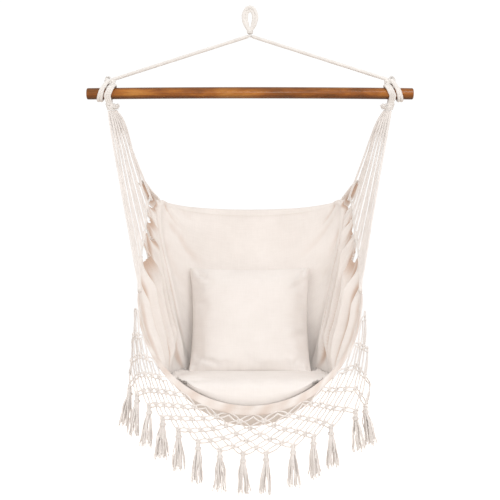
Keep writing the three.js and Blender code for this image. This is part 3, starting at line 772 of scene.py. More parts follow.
def clew_loop_paths(side):
    """Three ropes side by side over the bar, which meet in the knot below it."""
    paths = []
    for shift in (-CLEW_APART, 0.0, CLEW_APART):
        middle = (side * CLEW_X + shift, 0, BAR_Z)
        over = arc(middle, BAR_RADIUS + 6 * MM, -118, 118, 36, (0, 1, 0))
        over[:, 0] -= side * 8 * MM * (over[:, 2] - BAR_Z) / BAR_RADIUS
        foot = np.array((side * CLEW_X + shift * 0.8, 0, BAR_Z - 33 * MM))
        front, back = foot - (0, 7 * MM, 0), foot + (0, 7 * MM, 0)
        paths.append(Line([front, *over, back], 6).at(np.linspace(0, 1, 60)))
    return paths


def corner_line(side):
    """Where the gathered back corner of the cloth starts, and the way it is drawn up."""
    base = sling_point(side * CORNER_ANGLE, CORNER_SHARE) + (side * CORNER_OUT, 0, 0)
    drawn_to = np.array((side * (CLEW_X + 50 * MM), 20 * MM, BAR_Z - CLEW_DROP))
    return base, unit(drawn_to - base)


def edge_rope_path(side):
    """Out of the gathered corner, then along the whole side hem."""
    base, run = corner_line(side)
    hem = edge_rope_point(side, np.linspace(0.15, 1, 58))
    return np.concatenate([[base + run * 24 * MM], hem])


def doubled_cord(clew, index):
    """One long cord: down from the knot, round the edge rope and back up beside itself."""
    v = CORD_SHARES[index]
    end = edge_rope_point(clew.side, v)
    if index == 0:
        base, run = corner_line(clew.side)
        end = base + run * CORNER_RISE
    row = CORD_ROW if index % 2 else -CORD_ROW
    heading = clew.direction(v)
    inward = np.array((-clew.side * mix(19, -5, v) * MM, 0, 0))
    root = clew.centre + heading * BUNDLE_RADIUS + clew.normal * row + inward
    run = unit(end - root)
    across = unit(np.cross(clew.normal, run))
    top = clew.centre + clew.normal * row * 0.8 + heading * 7 * MM + 0.8 * inward
    lines = []
    for hand in (-1, 1):
        apart = CORD_APART * hand
        waver = CORD_WAVER * math.sin(5.1 * index + 2.3 * hand)
        middle = mix(root, end, 0.5) + across * (apart + waver) + clew.normal * waver
        upper = root + across * apart * 0.9
        last = end + across * apart * 1.1
        lines.append([top + across * apart * 0.3, upper, middle, last])
    around = [end + run * CORD_TURN + across * 2.2 * MM * hand for hand in (-1, 1)]
    path = [*lines[0], *around, *reversed(lines[1])]
    return Line(path, 24).at(np.linspace(0, 1, 90))


for side, name in SIDE_NAMES.items():
    clew = Clew(side)
    loop = ropes(f"clew_ropes_{name}", clew_loop_paths(side), white_rope, CLEW_ROPE)
    piece(loop, "sling", "white_rope", f"clew_loop_{name}")
    wraps = [
        winding(
            (side * (CLEW_X - (1 + 0.8 * turn) * MM), 0, BAR_Z - (34 + 3.8 * turn) * MM),
            (11.5 - 0.4 * turn) * MM,
            28,
            (0, 0.8, 0.12 * (-1) ** turn),
        )
        for turn in range(5)
    ]
    stub = np.array((side * (CLEW_X - 21 * MM), -7 * MM, BAR_Z - 42 * MM))
    lumps = [
        knot_lump(clew.centre + (side * -3 * MM, -2 * MM, 6 * MM), 10 * MM, 40 + side),
        knot_lump(stub, 7.5 * MM, 60 + side),
    ]
    binding = ropes(f"clew_binding_{name}", wraps + lumps, white_rope, CLEW_BINDING)
    piece(binding, "sling", "white_rope", f"clew_knot_{name}")
    stub_fuzz = fuzzy_end(f"clew_fuzz_{name}", stub, (-side, -0.3, -0.6), 70, 21)
    piece(stub_fuzz, "sling", "white_rope", f"clew_knot_{name}")
    paths = [doubled_cord(clew, index) for index in range(CORDS_A_SIDE)]
    cords = ropes(f"suspension_cords_{name}", paths, cotton_cord, SUSPENSION_CORD)
    nodes = [f"cord_{name}_{index + 1:02d}" for index in range(CORDS_A_SIDE)]
    piece(cords, "sling", "cotton_cord", *nodes)
    edge = ropes(f"edge_laid_rope_{name}", [edge_rope_path(side)], white_rope, HEM_ROPE)
    piece(edge, "sling", "white_rope", f"edge_rope_{name}")


# Sling cloth: one hemmed sheet, gathered in folds down both side walls
FOLD_DEPTH = 44 * MM
FOLD_MEETING = 0.84
FOLD_FRONT = 0.033
FOLD_BACK = 0.055
BACK_HEM = 0.024
BACK_SEAM = 0.021

# Place along the edge, share of the full depth, and how far down the fold runs, on each side
FOLDS = {
    -1: [
        (0.06, 0.25, 0.5),
        (0.18, 0.4, 0.45),
        (0.31, 0.65, 0.42),
        (0.45, 0.85, 0.44),
        (0.6, 1.0, 0.5),
        (0.75, 0.9, 0.55),
        (0.9, 0.6, 0.55),
    ],
    1: [
        (0.08, 0.25, 0.5),
        (0.21, 0.45, 0.44),
        (0.34, 0.7, 0.42),
        (0.48, 0.9, 0.46),
        (0.63, 0.85, 0.52),
        (0.78, 1.0, 0.55),
        (0.92, 0.5, 0.55),
    ],
}


def fold_relief(angle, v):
    """Height of the gathers towards the sitter: pleats with a sharp front and a long back."""
    relief = np.zeros_like(v)
    for side, folds in FOLDS.items():
        out = np.clip(angle * side / QUARTER, 0, 1)
        for k, (centre, depth, start) in enumerate(folds):
            drift = 0.035 * math.sin(2.4 * k + side) * (1 - out)
            window = smooth((out - start + 0.12) * 3.6) * smooth((1 - out) * 7 + 0.15)
            spread = smooth((out - 0.25) / 0.7)
            apart = v - mix(mix(centre, FOLD_MEETING, 0.7), centre, spread) - drift
            width = np.where(apart > 0, FOLD_FRONT, FOLD_BACK) * (0.7 + 0.3 * spread)
            profile = np.exp(0.245 - np.sqrt((apart / width) ** 2 + 0.06) ** 1.3)
            relief = (relief**4 + (depth * window * profile) ** 4) ** 0.25
    under_seat = smooth((0.6 - abs(angle) / QUARTER) / 0.1) * smooth((v - 0.56) / 0.06)
    return FOLD_DEPTH * relief * (1 - under_seat)


def crease(angle, v, first, last, width, depth):
    """A soft valley along a line between two (angle, v) places on the cloth."""
    (a0, v0), (a1, v1) = first, last
    dx, dy = (a1 - a0) * 0.33, (v1 - v0) * 1.1
    px, py = (angle - a0) * 0.33, (v - v0) * 1.1
    length = math.hypot(dx, dy)
    along = (px * dx + py * dy) / length**2
    apart = (px * dy - py * dx) / length
    fade = smooth(along * 4) * smooth((1 - along) * 2.2)
    profile = np.exp(-((apart / width) ** 2))
    profile -= 0.6 * np.exp(-(((apart - 1.7 * width) / width) ** 2))
    return -depth * fade * profile


# Both ends of each crease, its width as a share, and its depth
BACK_CREASES = [
    ((-1.36, 0.01), (-0.7, 0.12), 0.009, 3.5 * MM),
    ((-1.25, 0.05), (-0.3, 0.25), 0.03, 3.8 * MM),
    ((-1.1, 0.16), (-0.6, 0.38), 0.036, 5 * MM),
    ((1.36, 0.01), (0.75, 0.11), 0.009, 3.5 * MM),
    ((1.25, 0.05), (0.35, 0.22), 0.028, 3.5 * MM),
    ((1.1, 0.15), (0.65, 0.36), 0.036, 4.5 * MM),
]


def sling_relief(angle, v):
    relief = fold_relief(angle, v)
    for row in BACK_CREASES:
        relief = relief + crease(angle, v, *row)
    relief = relief + 0.9 * MM * smooth((BACK_HEM - v) / 0.003)
    outward = abs(angle) / QUARTER
    edge = smooth((outward - 0.74) / 0.2) * smooth((v - 0.1) * 12) * smooth((0.72 - v) * 8)
    gathers = np.sin(270 * v + 5 * angle + 3 * np.sin(31 * v)) + 0.6 * np.sin(431 * v - 9 * angle)
    relief = relief + 2.6 * MM * edge * gathers
    spots = zip(4 * angle.ravel(), 9 * v.ravel())
    waves = np.array([noise.fractal(Vector((a, b, 1.5)), 1.0, 2.0, 3) for a, b in spots])
    height = mix(0.6 * MM, 2.6 * MM, smooth((outward - 0.15) * 2))
    return relief + waves.reshape(v.shape) * height


SLING_COLUMNS = 176
SLING_STATIONS = 236
FOLD_NEIGHBOURS = (-11, -7, -4, 4, 7, 11)

# Cut-outs in the side hems, where the cords reach the edge rope: their first and last
# share of the edge, and how far they go in as a share of the wall
CUT_OUTS = [(0.07, 0.2, 0.075), (0.27, 0.34, 0.04), (0.37, 0.47, 0.06), (0.56, 0.68, 0.04)]


def cut_out(v):
    """How far the hem is cut back at each share of the edge, as a share of the wall."""
    depth = v * 0
    for first, last, most in CUT_OUTS:
        place = (v - first) / (last - first)
        depth = depth + most * smooth(place * 4) * smooth((1 - place) * 4)
    return depth


def sling_cloth():
    angles = np.linspace(-QUARTER, QUARTER, SLING_COLUMNS + 1)
    v, angle = np.meshgrid(np.linspace(0, 1, SLING_STATIONS + 1), angles, indexing="ij")
    wall = smooth((abs(angle) / QUARTER - 0.8) / 0.2)
    angle = angle * (1 - cut_out(v) * wall)
    surface = sling_point(angle, v)
    normal = sling_normal(angle, v)
    relief = sling_relief(angle, v)
    points = surface + normal * relief[..., None]
    faces = grid_faces(SLING_COLUMNS, SLING_STATIONS)
    cloth = mesh_object("sling_sheet", points.reshape(-1, 3), faces)
    middle = SLING_COLUMNS // 2
    steps = np.linalg.norm(np.diff(surface, axis=1), axis=2)
    across = np.concatenate([np.zeros((len(steps), 1)), np.cumsum(steps, axis=1)], axis=1)
    across -= across[:, middle][:, None]
    down = np.broadcast_to(travelled(surface[:, middle])[:, None], across.shape)
    store_weave(cloth, np.stack([across, down, across * 0], axis=-1))
    paint(cloth, canvas)
    thick = cloth.modifiers.new("thickness", "SOLIDIFY")
    thick.thickness = CLOTH_THICKNESS
    thick.offset = 0
    thick.use_even_offset = False
    settled(cloth)
    # Painted shade: inner face darker in the fold valleys and round the cut-outs, outer face a little
    # darker where the ridges stand inward
    beside = sum(np.roll(relief, shift, axis=0) for shift in FOLD_NEIGHBOURS) / len(FOLD_NEIGHBOURS)
    fold_shade = smooth((beside - relief) / (10 * MM))
    inner_shade = np.maximum(fold_shade, smooth(cut_out(v) * 30) * wall**4)
    outer_shade = 0.3 * smooth((relief - beside) / (12 * MM))
    store_two_sided_shade(cloth, points, normal, inner_shade, outer_shade)
    return smooth_shading(cloth)


TAB_SIDES = 14
TAB_STATIONS = 12
HEM_TABS = [(0.205, 0.265), (0.475, 0.55), (0.7, 1.0)]


def edge_channel(side, name):
    """The tabs of the side hem that are left round the edge rope between the cut-outs."""
    points, faces, weave = [], [], []
    for first, last in HEM_TABS:
        shares = np.linspace(first, last, TAB_STATIONS)
        centre = edge_rope_point(side, shares)
        inward = unit(edge_rope_point(side, shares, 0.0) - centre)
        tangent = unit(np.gradient(centre, axis=0))
        out = unit(np.cross(tangent, inward))
        start = len(points)
        for j, share in enumerate(shares):
            to_end = abs(2 * j / (TAB_STATIONS - 1) - 1)
            flare = 1 + 0.1 * math.sin(23 * share + side) + 0.25 * to_end**4
            for k in range(TAB_SIDES):
                angle = math.tau * k / TAB_SIDES
                on_cloth = max(math.cos(angle), 0)
                reach = (5.6 + 20.0 * on_cloth**1.5) * MM
                thick = 5.2 * MM * flare * (1 - 0.7 * on_cloth)
                place = centre[j] + inward[j] * reach * math.cos(angle)
                points.append(place + out[j] * thick * math.sin(angle))
                weave.append((share * side_line.length, angle * 7 * MM, 0))
        faces += tube_faces(TAB_STATIONS, TAB_SIDES, start)
    sleeve = mesh_object(f"edge_sleeve_{name}", points, faces)
    store_weave(sleeve, np.array(weave))
    normals_out(sleeve)
    return smooth_shading(paint(sleeve, canvas))


FLAP_COLUMNS = 12
FLAP_ROWS = 14
FLAP_LENGTH = 122 * MM
FLAP_OVERLAP = 38 * MM


def corner_flap(side, name):
    """The gathered corner of the cloth, drawn up along the rearmost cords and folded on itself."""
    base, run = corner_line(side)
    inward = unit(np.array((-side, 0, 0)) - run * -side * run[0])
    front = unit(np.cross(run, inward) * -side)
    columns, rows = np.linspace(-1, 1, FLAP_COLUMNS + 1), np.linspace(0, 1, FLAP_ROWS + 1)
    across, along = np.meshgrid(columns, rows)
    half = mix(24 * MM, 11 * MM, smooth(along)) * (1 + 0.1 * np.sin(9 * along + side))
    half *= smooth(along * 1.7 + 0.25)
    rise = (0.35 - abs(across)) * half * 0.9 + mix(-16 * MM, 5 * MM, smooth(along * 2.6))
    lean = mix(6 * MM, 2 * MM, along)
    points = base + run * (along * FLAP_LENGTH - FLAP_OVERLAP)[..., None]
    points = points + inward * (across * half + lean)[..., None] + front * rise[..., None]
    faces = grid_faces(FLAP_COLUMNS, FLAP_ROWS)
    flap = mesh_object(f"corner_flap_{name}", points.reshape(-1, 3), faces)
    store_weave(flap, np.stack([across * half, along * FLAP_LENGTH, across * 0], axis=-1))
    # Painted shade: the flap's middle is darkened on one face for the shade inside its fold
    shaded = smooth((0.05 - across) * 4) * smooth((across + 0.95) * 5)
    shaded *= smooth((along - 0.16) * 5) * smooth((1 - along) * 9)
    paint(flap, canvas)
    thick = flap.modifiers.new("thickness", "SOLIDIFY")
    thick.thickness = 2 * CLOTH_THICKNESS
    thick.offset = 0
    settled(flap)
    store_two_sided_shade(flap, points, np.broadcast_to(-front, points.shape), shaded, 0 * shaded)
    return smooth_shading(flap)


STITCH_PITCH = 5 * MM


def stitches(name, line):
    """Machine stitches: short pieces of thread in a row."""
    count = int(line.length / STITCH_PITCH)
    ends = line.at((np.arange(count)[:, None] + np.array((0.12, 0.72))) / count)
    return ropes(name, list(ends), sewing_thread, STITCH_THREAD)


sling = sling_cloth()
piece(sling, "sling", "canvas", "sling_cloth")
for side, name in SIDE_NAMES.items():
    piece(edge_channel(side, name), "sling", "canvas", "sling_cloth")
    piece(corner_flap(side, name), "sling", "canvas", "sling_cloth")
hem_angles = np.linspace(-1.45, 1.45, 60)
back_seam = sling_point(hem_angles, BACK_SEAM)
back_seam = back_seam + sling_normal(hem_angles, BACK_SEAM) * 2.2 * MM
piece(stitches("back_hem_stitches", Line(back_seam)), "sling", "canvas", "sling_cloth")


# Stations along the front edge, shared by the hem, the net and the tassels
TASSEL_SHARES = (
    -0.985, -0.913, -0.806, -0.694, -0.564, -0.408, -0.238,
    -0.055, 0.127, 0.341, 0.503, 0.645, 0.85, 0.94,
)
HEM_THICKNESS = 4 * MM
REST_GAP = 0.9 * MM
edge_angles = np.linspace(-QUARTER, QUARTER, 161)
edge_lengths = travelled(sling_point(edge_angles, np.ones(len(edge_angles))))


def lower_angle(share):
    spots = np.array([0, *(np.arange(NET_COLUMNS) + 0.5), NET_COLUMNS]) / NET_COLUMNS
    return np.arcsin(np.clip(np.interp(share, spots, (-1, *TASSEL_SHARES, 1)), -1, 1))


def upper_angle(share):
    even = np.interp(np.asarray(share) * edge_lengths[-1], edge_lengths, edge_angles)
    return mix(even, lower_angle(share), 0.5)


def hem_direction(angle):
    return unit(np.stack([angle * 0, -abs(np.sin(angle)), -np.cos(angle)], axis=-1))


def hem_top(share):
    angle = np.asarray(upper_angle(share), float)
    edge = sling_point(angle, angle * 0 + 1)
    forward = unit(edge - sling_point(angle, angle * 0 + 1 - 1e-3))
    return edge + forward * (SEAT_GAP + (HEM_THICKNESS + CLOTH_THICKNESS) / 2)


def net_top(share):
    angle = np.asarray(upper_angle(share), float)
    below = hem_top(share) + hem_direction(angle) * (HEM_WIDTH + REST_GAP)
    return below + np.stack([NET_STANDOFF * np.sin(angle) ** 3, angle * 0, angle * 0], axis=-1)


def net_bottom(share):
    angle = np.asarray(lower_angle(share), float)
    side_drop = NET_SIDE_DROP + NET_SIDE_SKEW * np.sin(angle)
    drop = mix(side_drop, NET_MIDDLE_DROP, np.clip(np.cos(angle), 0, 1) ** NET_SAG_POWER)
    top = net_top(share)
    return np.stack([NET_HALF_WIDTH * np.sin(angle), top[..., 1] - NET_LEAN, BAR_Z - drop], axis=-1)


def net_point(share, fall):
    fall = np.asarray(fall, float)[..., None]
    return net_top(share) * (1 - fall) + net_bottom(share) * fall


# Front hem: a folded band, its outline given as shares of its width and of half its thickness
HEM_COLUMNS = 220
HEM_OUTLINE = [(0, 0.5), (0.06, 0.95), (0.3, 0.8), (0.62, 0.9), (0.94, 1), (1, 0.55)]


def front_hem():
    shares = np.linspace(0, 1, HEM_COLUMNS + 1)
    angle = upper_angle(shares)
    top = hem_top(shares)
    fall = hem_direction(angle)
    out = unit(np.cross(np.gradient(top, axis=0), fall))
    half = HEM_THICKNESS / 2
    outline = [(down, -thick) for down, thick in HEM_OUTLINE]
    outline += [(down, thick) for down, thick in reversed(HEM_OUTLINE)]
    rows = []
    for down, thick in outline:
        waves = np.sin(shares * 190 + 7 * down) + 2 * np.sin(shares * 61 + 3 * down)
        waves += 2 * np.sin(shares * 97)
        ripple = 0.3 * MM * waves * (1 if 0 < down < 1 else 0)
        rows.append(top + fall * (down * HEM_WIDTH) + out * (thick * half * 0.8 + ripple)[:, None])
    points = np.array(rows)
    count = len(outline)
    faces = []
    for j in range(count):
        a, b = j * (HEM_COLUMNS + 1), (j + 1) % count * (HEM_COLUMNS + 1)
        faces += [(a + i, a + i + 1, b + i + 1, b + i) for i in range(HEM_COLUMNS)]
    for end in (0, HEM_COLUMNS):
        faces.append([j * (HEM_COLUMNS + 1) + end for j in range(count)])
    band = mesh_object("hem_band", points.reshape(-1, 3), faces)
    along, down = np.meshgrid(travelled(top), [down for down, _ in outline])
    store_weave(band, np.stack([along, down * HEM_WIDTH, along * 0], axis=-1))
    # Painted shade: soft darker patches along the hem band
    store_painted_shade(band, 0.25 + 0.25 * np.sin(shares * 83 + 2 * down) * np.sin(shares * 31))
    normals_out(band)
    return smooth_shading(paint(band, canvas))


hem = front_hem()
piece(hem, "sling", "canvas", "front_hem")


# Knotted net: pairs of cords in diamonds, with square knots where they cross
PAIR_AT_KNOT = 2.7 * MM
PAIR_HALFWAY = 5.6 * MM


def net_strand(first, last, bow, shift, hand):
    """One cord of a pair between two knots, a little slack."""
    t = np.linspace(0, 1, 9)
    shares = mix(first[0], last[0], t) / NET_COLUMNS
    falls = mix(first[1], last[1], t) / NET_ROWS
    points = net_point(shares, np.clip(falls, 0, 1))
    ahead = unit(np.gradient(points, axis=0))
    normal = unit(np.cross(np.gradient(net_point(shares, falls * 0), axis=0), (0, -0.2, -1)))
    side = unit(np.cross(ahead, normal))
    swell = np.sin(math.pi * t)[:, None]
    apart = hand * mix(PAIR_AT_KNOT, PAIR_HALFWAY, swell)
    return points + side * (apart + shift * swell) + normal * (bow * swell + hand * 0.8 * MM)


def square_knot(centre, across, upward, out, size):
    """Two interlaced loops."""
    t = np.linspace(0, math.tau, 26)
    loops = []
    for hand in (-1, 1):
        x = hand * 0.42 + 0.78 * np.cos(t)
        y = 0.62 * np.sin(t)
        z = 0.42 * np.cos(2 * t) * hand + 0.25
        loops.append(centre + size * (x[:, None] * across + y[:, None] * upward + z[:, None] * out))
    return loops


def net_knots():
    """Column and row of every knot, where the corners of the diamonds meet."""
    knots = [(column + 0.5, row) for row in range(1, NET_ROWS + 1) for column in range(NET_COLUMNS)]
    return knots + [(column, row + 0.5) for row in range(NET_ROWS) for column in range(1, NET_COLUMNS)]


def knotted_net():
    pick = random.Random(12)
    paths = []
    for column in np.arange(NET_COLUMNS) + 0.5:
        for row in np.arange(NET_ROWS) + 0.5:
            corners = [
                (column, row - 0.5),
                (column + 0.5, row),
                (column, row + 0.5),
                (column - 0.5, row),
            ]
            for first, last in zip(corners, corners[1:] + corners[:1]):
                bow, shift = pick.uniform(-1, 1) * MM, pick.uniform(-0.8, 0.8) * MM
                paths += [net_strand(first, last, bow, shift, hand) for hand in (-1, 1)]
    loops = []
    for column, row in net_knots():
        share, fall = column / NET_COLUMNS, row / NET_ROWS
        centre = net_point(share, fall - 0.012)
        step = 0.004
        across = unit(net_point(min(share + step, 1), fall) - net_point(max(share - step, 0), fall))
        out = unit(np.cross(across, (0, 0, -1)))
        out = -out if out[1] > 0 else out
        upward = unit(np.cross(out, across))
        loops += square_knot(centre, across, upward, out, 5.8 * MM)
    cords = ropes("net_cords", paths, cotton_cord, NET_CORD)
    return cords, ropes("net_knots", loops, cotton_cord, NET_KNOT_CORD)


for made in knotted_net():
    piece(made, "sling", "cotton_cord", "knotted_net")


# Tassels: a knotted loop, a bound waist and loose cords with frayed tips
def tassel_cords(centre, lean, seed):
    pick = random.Random(seed)
    count = pick.randint(16, 19)
    lines = []
    for k in range(count):
        around = math.tau * (k / count) + pick.uniform(-0.25, 0.25)
        depth = math.sqrt(pick.uniform(0.15, 1))
        outward = np.array((math.cos(around), math.sin(around), 0)) * depth
        length = TASSEL_LENGTH * pick.uniform(0.86, 0.985)
        foot = outward * pick.uniform(15, 23) * MM + np.array(lean) * length
        belly = outward * pick.uniform(10, 15) * MM + np.array(lean) * length * 0.45
        twist = np.array((pick.uniform(-2, 2), pick.uniform(-2, 2), 0)) * MM
        stations = [
            outward * 2.2 * MM + (0, 0, 2 * MM),
            outward * 6.0 * MM - (0, 0, 7 * MM),
            outward * 5.0 * MM - (0, 0, 13 * MM),
            belly + twist - (0, 0, 0.42 * length),
            mix(belly, foot, 0.6) - twist - (0, 0, 0.72 * length),
            foot - (0, 0, length - 8 * MM),
        ]
        lines.append(Line([centre + p for p in stations], 12).at(np.linspace(0, 1, 24)))
    return lines


def tassel_tips(cords, seed):
    pick = random.Random(seed)
    tips = []
    for cord in cords:
        end, heading = cord[-1], unit(cord[-1] - cord[-3])
        for _ in range(7):
            lean = np.array([pick.gauss(0, 0.28) for _ in range(3)])
            root, start = end - heading * 2 * MM, end + lean * 1.5 * MM
            middle = end + (heading + lean * 0.6) * 5 * MM
            tips.append([root, start, middle, middle + (heading + lean) * 4 * MM])
    return tips


RIGHTWARD, BACKWARD, UPWARD = np.eye(3)

for index in range(NET_COLUMNS):
    number = f"{index + 1:02d}"
    share = (index + 0.5) / NET_COLUMNS
    head = net_bottom(share) - np.array((0, 0, SEAT_GAP + TASSEL_HEAD))
    slant = 0.13 * math.sin(float(lower_angle(share))) ** 3 + 0.02 * math.sin(2.1 * index)
    cords = tassel_cords(head, (slant, 0, 0), 60 + index)
    neck = [
        winding(head - (0, 0, (12 + 1.7 * turn) * MM), 8.2 * MM, 20, (0, 1, 0.1))
        for turn in range(3)
    ]
    knot = square_knot(head + (0, 0, 0.5 * MM), RIGHTWARD, UPWARD, -BACKWARD, 5.0 * MM)
    skirt = ropes(f"tassel_cords_{number}", cords, cotton_cord, TASSEL_CORD)
    fray = tassel_tips(cords, 90 + index)
    tips = ropes(f"tassel_tips_{number}", fray, cotton_cord, TASSEL_TIP)
    binding = ropes(f"tassel_binding_{number}", neck + knot, cotton_cord, TASSEL_BINDING)
    for made in (skirt, tips, binding):
        piece(made, f"tassel_{number}", "cotton_cord", f"tassel_{number}")


# Cushions: stuffed covers, puckered along their seams by a cloth simulation
PILLOW_SIZE = (380 * MM, 366 * MM)
PILLOW_THICKNESS = 125 * MM
PILLOW_LEAN = math.radians(23)
PILLOW_FOOT = 44 * MM
PILLOW_SWELL = (1.035, 1.061)
PILLOW_SINK = 21 * MM
PILLOW_SPREAD = 0.03
SEAT_SWELL = 1.22
BELLY_SAG = 13 * MM
SEAT_SIZE = (424 * MM, 390 * MM)
SEAT_THICKNESS = 154 * MM
SEAT_SETBACK = 13 * MM
SEAT_BULGE = 7 * MM
SEAT_SETTLE = 14 * MM
SEAT_DENT = 8 * MM
DENT_Y = 0.03
DENT_REACH = 0.075
SEAM = 8 * MM
PILLOW_PUCKER = 8 * MM
SEAT_PUCKER = 12 * MM
CUSHION_PULL = 0.045
PANEL_CELLS = 52
SETTLE_FRAMES = 26


def drawn_in(a, b):
    return a * (1 - CUSHION_PULL * (1 - b * b)), b * (1 - CUSHION_PULL * (1 - a * a))


def crown(a, b, squareness=4):
    return np.sqrt(np.clip((1 - np.abs(a) ** squareness) * (1 - np.abs(b) ** squareness), 0, 1))


class Panels:
    """Two square panels that share their rim, as one closed mesh."""

    def __init__(self):
        spots = np.sin(np.linspace(-0.5, 0.5, PANEL_CELLS + 1) * math.pi)
        self.b, self.a = np.meshgrid(spots, spots, indexing="ij")
        self.rim = (abs(self.a) == 1) | (abs(self.b) == 1)
        count = self.a.size
        self.top = np.arange(count).reshape(self.a.shape)
        self.bottom = self.top.copy()
        self.bottom[~self.rim] = count + np.arange((~self.rim).sum())
        upper = np.array(grid_faces(PANEL_CELLS, PANEL_CELLS))
        self.faces = np.vstack([upper, self.bottom.ravel()[upper][:, ::-1]]).tolist()

    def points(self, above, below):
        """Point list from two grids; the rim lies halfway between them."""
        above = np.where(self.rim[..., None], (above + below) / 2, above)
        return np.vstack([above.reshape(-1, 3), below[~self.rim]])


panels = Panels()


def stuffed_shape(size, thickness):
    x, y = drawn_in(panels.a, panels.b)
    depth = mix(SEAM, thickness, crown(panels.a, panels.b, 3)) / 2
    above = np.stack([x * size[0] / 2, y * size[1] / 2, depth], axis=-1)
    return panels.points(above, above * (1, 1, -1))


def puckers(name, size, thickness, seed):
    """How far each point of a stuffed cover moves when its seam draws it in."""
    start = stuffed_shape(size, thickness)
    obj = mesh_object(name, start, panels.faces)
    pick = np.random.default_rng(seed)
    shaken = start + pick.normal(0, 0.15 * MM, start.shape)
    obj.data.vertices.foreach_set("co", shaken.ravel())
    from_rim = np.clip(1.12 - np.maximum(abs(panels.a), abs(panels.b)), 0, 1)
    drawn = 1 - smooth(from_rim * 4)
    pull = np.concatenate([drawn.ravel(), drawn[~panels.rim]])
    seam = obj.vertex_groups.new(name="seam")
    for index, weight in enumerate(pull):
        seam.add([index], float(weight), "REPLACE")
    cloth = obj.modifiers.new("cloth", "CLOTH")
    settings = cloth.settings
    settings.quality = 5
    settings.mass = 0.25
    settings.tension_stiffness = settings.compression_stiffness = 26
    settings.shear_stiffness = 9
    settings.bending_stiffness = 0.08
    settings.tension_damping = settings.compression_damping = settings.shear_damping = 8
    settings.air_damping = 3
    settings.vertex_group_shrink = "seam"
    settings.shrink_min = -0.012
    settings.shrink_max = 0.12
    settings.use_pressure = True
    settings.uniform_pressure_force = 2.2
    settings.effector_weights.gravity = 0
    cloth.point_cache.frame_end = SETTLE_FRAMES
    for number in range(1, SETTLE_FRAMES + 1):
        scene.frame_set(number)
    settled(obj)
    scene.frame_set(1)
    moved = np.empty(len(start) * 3)
    obj.data.vertices.foreach_get("co", moved)
    bpy.data.objects.remove(obj)
    return moved.reshape(-1, 3) - start


def seam_ripples(size, seed):
    """Small gathers along the seam, deeper at the corners and gone a hand's width in."""
    pick = random.Random(seed)
    x, y = panels.a * size[0] / 2, panels.b * size[1] / 2
    near = np.maximum(abs(panels.a), abs(panels.b))
    ripple = near * 0
    for along, across in ((x, panels.b), (y, panels.a)):
        side = smooth((abs(across) - 0.72) / 0.2) * np.sqrt(np.clip(1 - across**2, 0, 1)) * 2
        wave = near * 0
        for _ in range(4):
            pitch, phase = pick.uniform(16, 42) * MM, pick.uniform(0, math.tau)
            wave = wave + np.cos(math.tau * along / pitch + phase + np.sign(across) * 2.1)
        ripple = ripple + wave * side
    return ripple * 1.2 * MM


# Both ends of each crease as shares of the half size, its width and its depth
PILLOW_CREASES = [
    ((-1.0, -0.62), (-0.45, -0.86), 0.05, 8 * MM),
    ((-1.02, 0.5), (-0.55, 0.62), 0.04, 5 * MM),
    ((1.0, -0.2), (0.6, -0.35), 0.05, 5 * MM),
    ((1.0, 0.75), (0.6, 0.45), 0.04, 5 * MM),
    ((-0.9, 0.95), (-0.6, 0.55), 0.045, 5 * MM),
    ((0.95, -0.7), (0.5, -0.55), 0.06, 4 * MM),
]
SEAT_CREASES = [
    ((-1.0, 0.5), (-0.5, 0.35), 0.06, 10 * MM),
    ((-0.95, 0.85), (-0.4, 0.6), 0.06, 10 * MM),
    ((0.95, 0.9), (0.45, 0.55), 0.06, 10 * MM),
    ((1.0, 0.3), (0.5, 0.2), 0.06, 9 * MM),
    ((0.1, 1.0), (0.05, 0.5), 0.05, 6.5 * MM),
]


def relaxed(shift, most):
    """Movements held under a limit, with their mean taken off."""
    shift = shift - shift.mean(axis=0)
    length = np.linalg.norm(shift, axis=1, keepdims=True)
    return shift * np.minimum(1, most / np.maximum(length, 1e-9))


def press_crease(points, first, last, width, depth):
    """A pressed-in crease on a cushion's upper panel, between two places given as shares."""
    (a0, b0), (a1, b1) = first, last
    length = math.hypot(a1 - a0, b1 - b0)
    along = ((panels.a - a0) * (a1 - a0) + (panels.b - b0) * (b1 - b0)) / length**2
    apart = ((panels.a - a0) * (b1 - b0) - (panels.b - b0) * (a1 - a0)) / length
    fade = smooth(along * 3 + 0.1) * smooth((1 - along) * 3)
    valley = np.exp(-((apart / width) ** 2))
    valley -= 0.7 * np.exp(-(((apart - 1.6 * width) / width) ** 2))
    points[: valley.size, 2] -= depth * (fade * valley).ravel()


def cushion_object(name, points, size):
    obj = mesh_object(name, points, panels.faces)
    x, y = drawn_in(panels.a, panels.b)
    flat = np.stack([x * size[0] / 2, y * size[1] / 2, x * 0], axis=-1)
    store_weave(obj, panels.points(flat, flat))
    return smooth_shading(paint(obj, cushion_cloth))


def onto(points, node):
    """The shift that brings the points' box onto that of a CAD piece."""
    low, high = (np.array(corner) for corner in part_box(node))
    middle = (points.min(axis=0) + points.max(axis=0)) / 2
    return (low + high) / 2 - middle


def pillow_points(local, sag=0.0, spread=0.0):
    x, y, depth = local[:, 0], local[:, 1], local[:, 2]
    low = smooth(0.6 - 2 * y / PILLOW_SIZE[1])
    x = x * (1 + spread * (0.5 + y / PILLOW_SIZE[1]))
    y = y - sag * low * np.clip(depth / (PILLOW_THICKNESS / 2), 0, 1)
    foot = PILLOW_FOOT * np.clip(0.5 - y / PILLOW_SIZE[1], 0, 1.1) ** 3
    back = -depth - foot
    cos, sin = math.cos(PILLOW_LEAN), math.sin(PILLOW_LEAN)
    return np.stack([x, back * cos + y * sin, y * cos - back * sin], axis=-1)


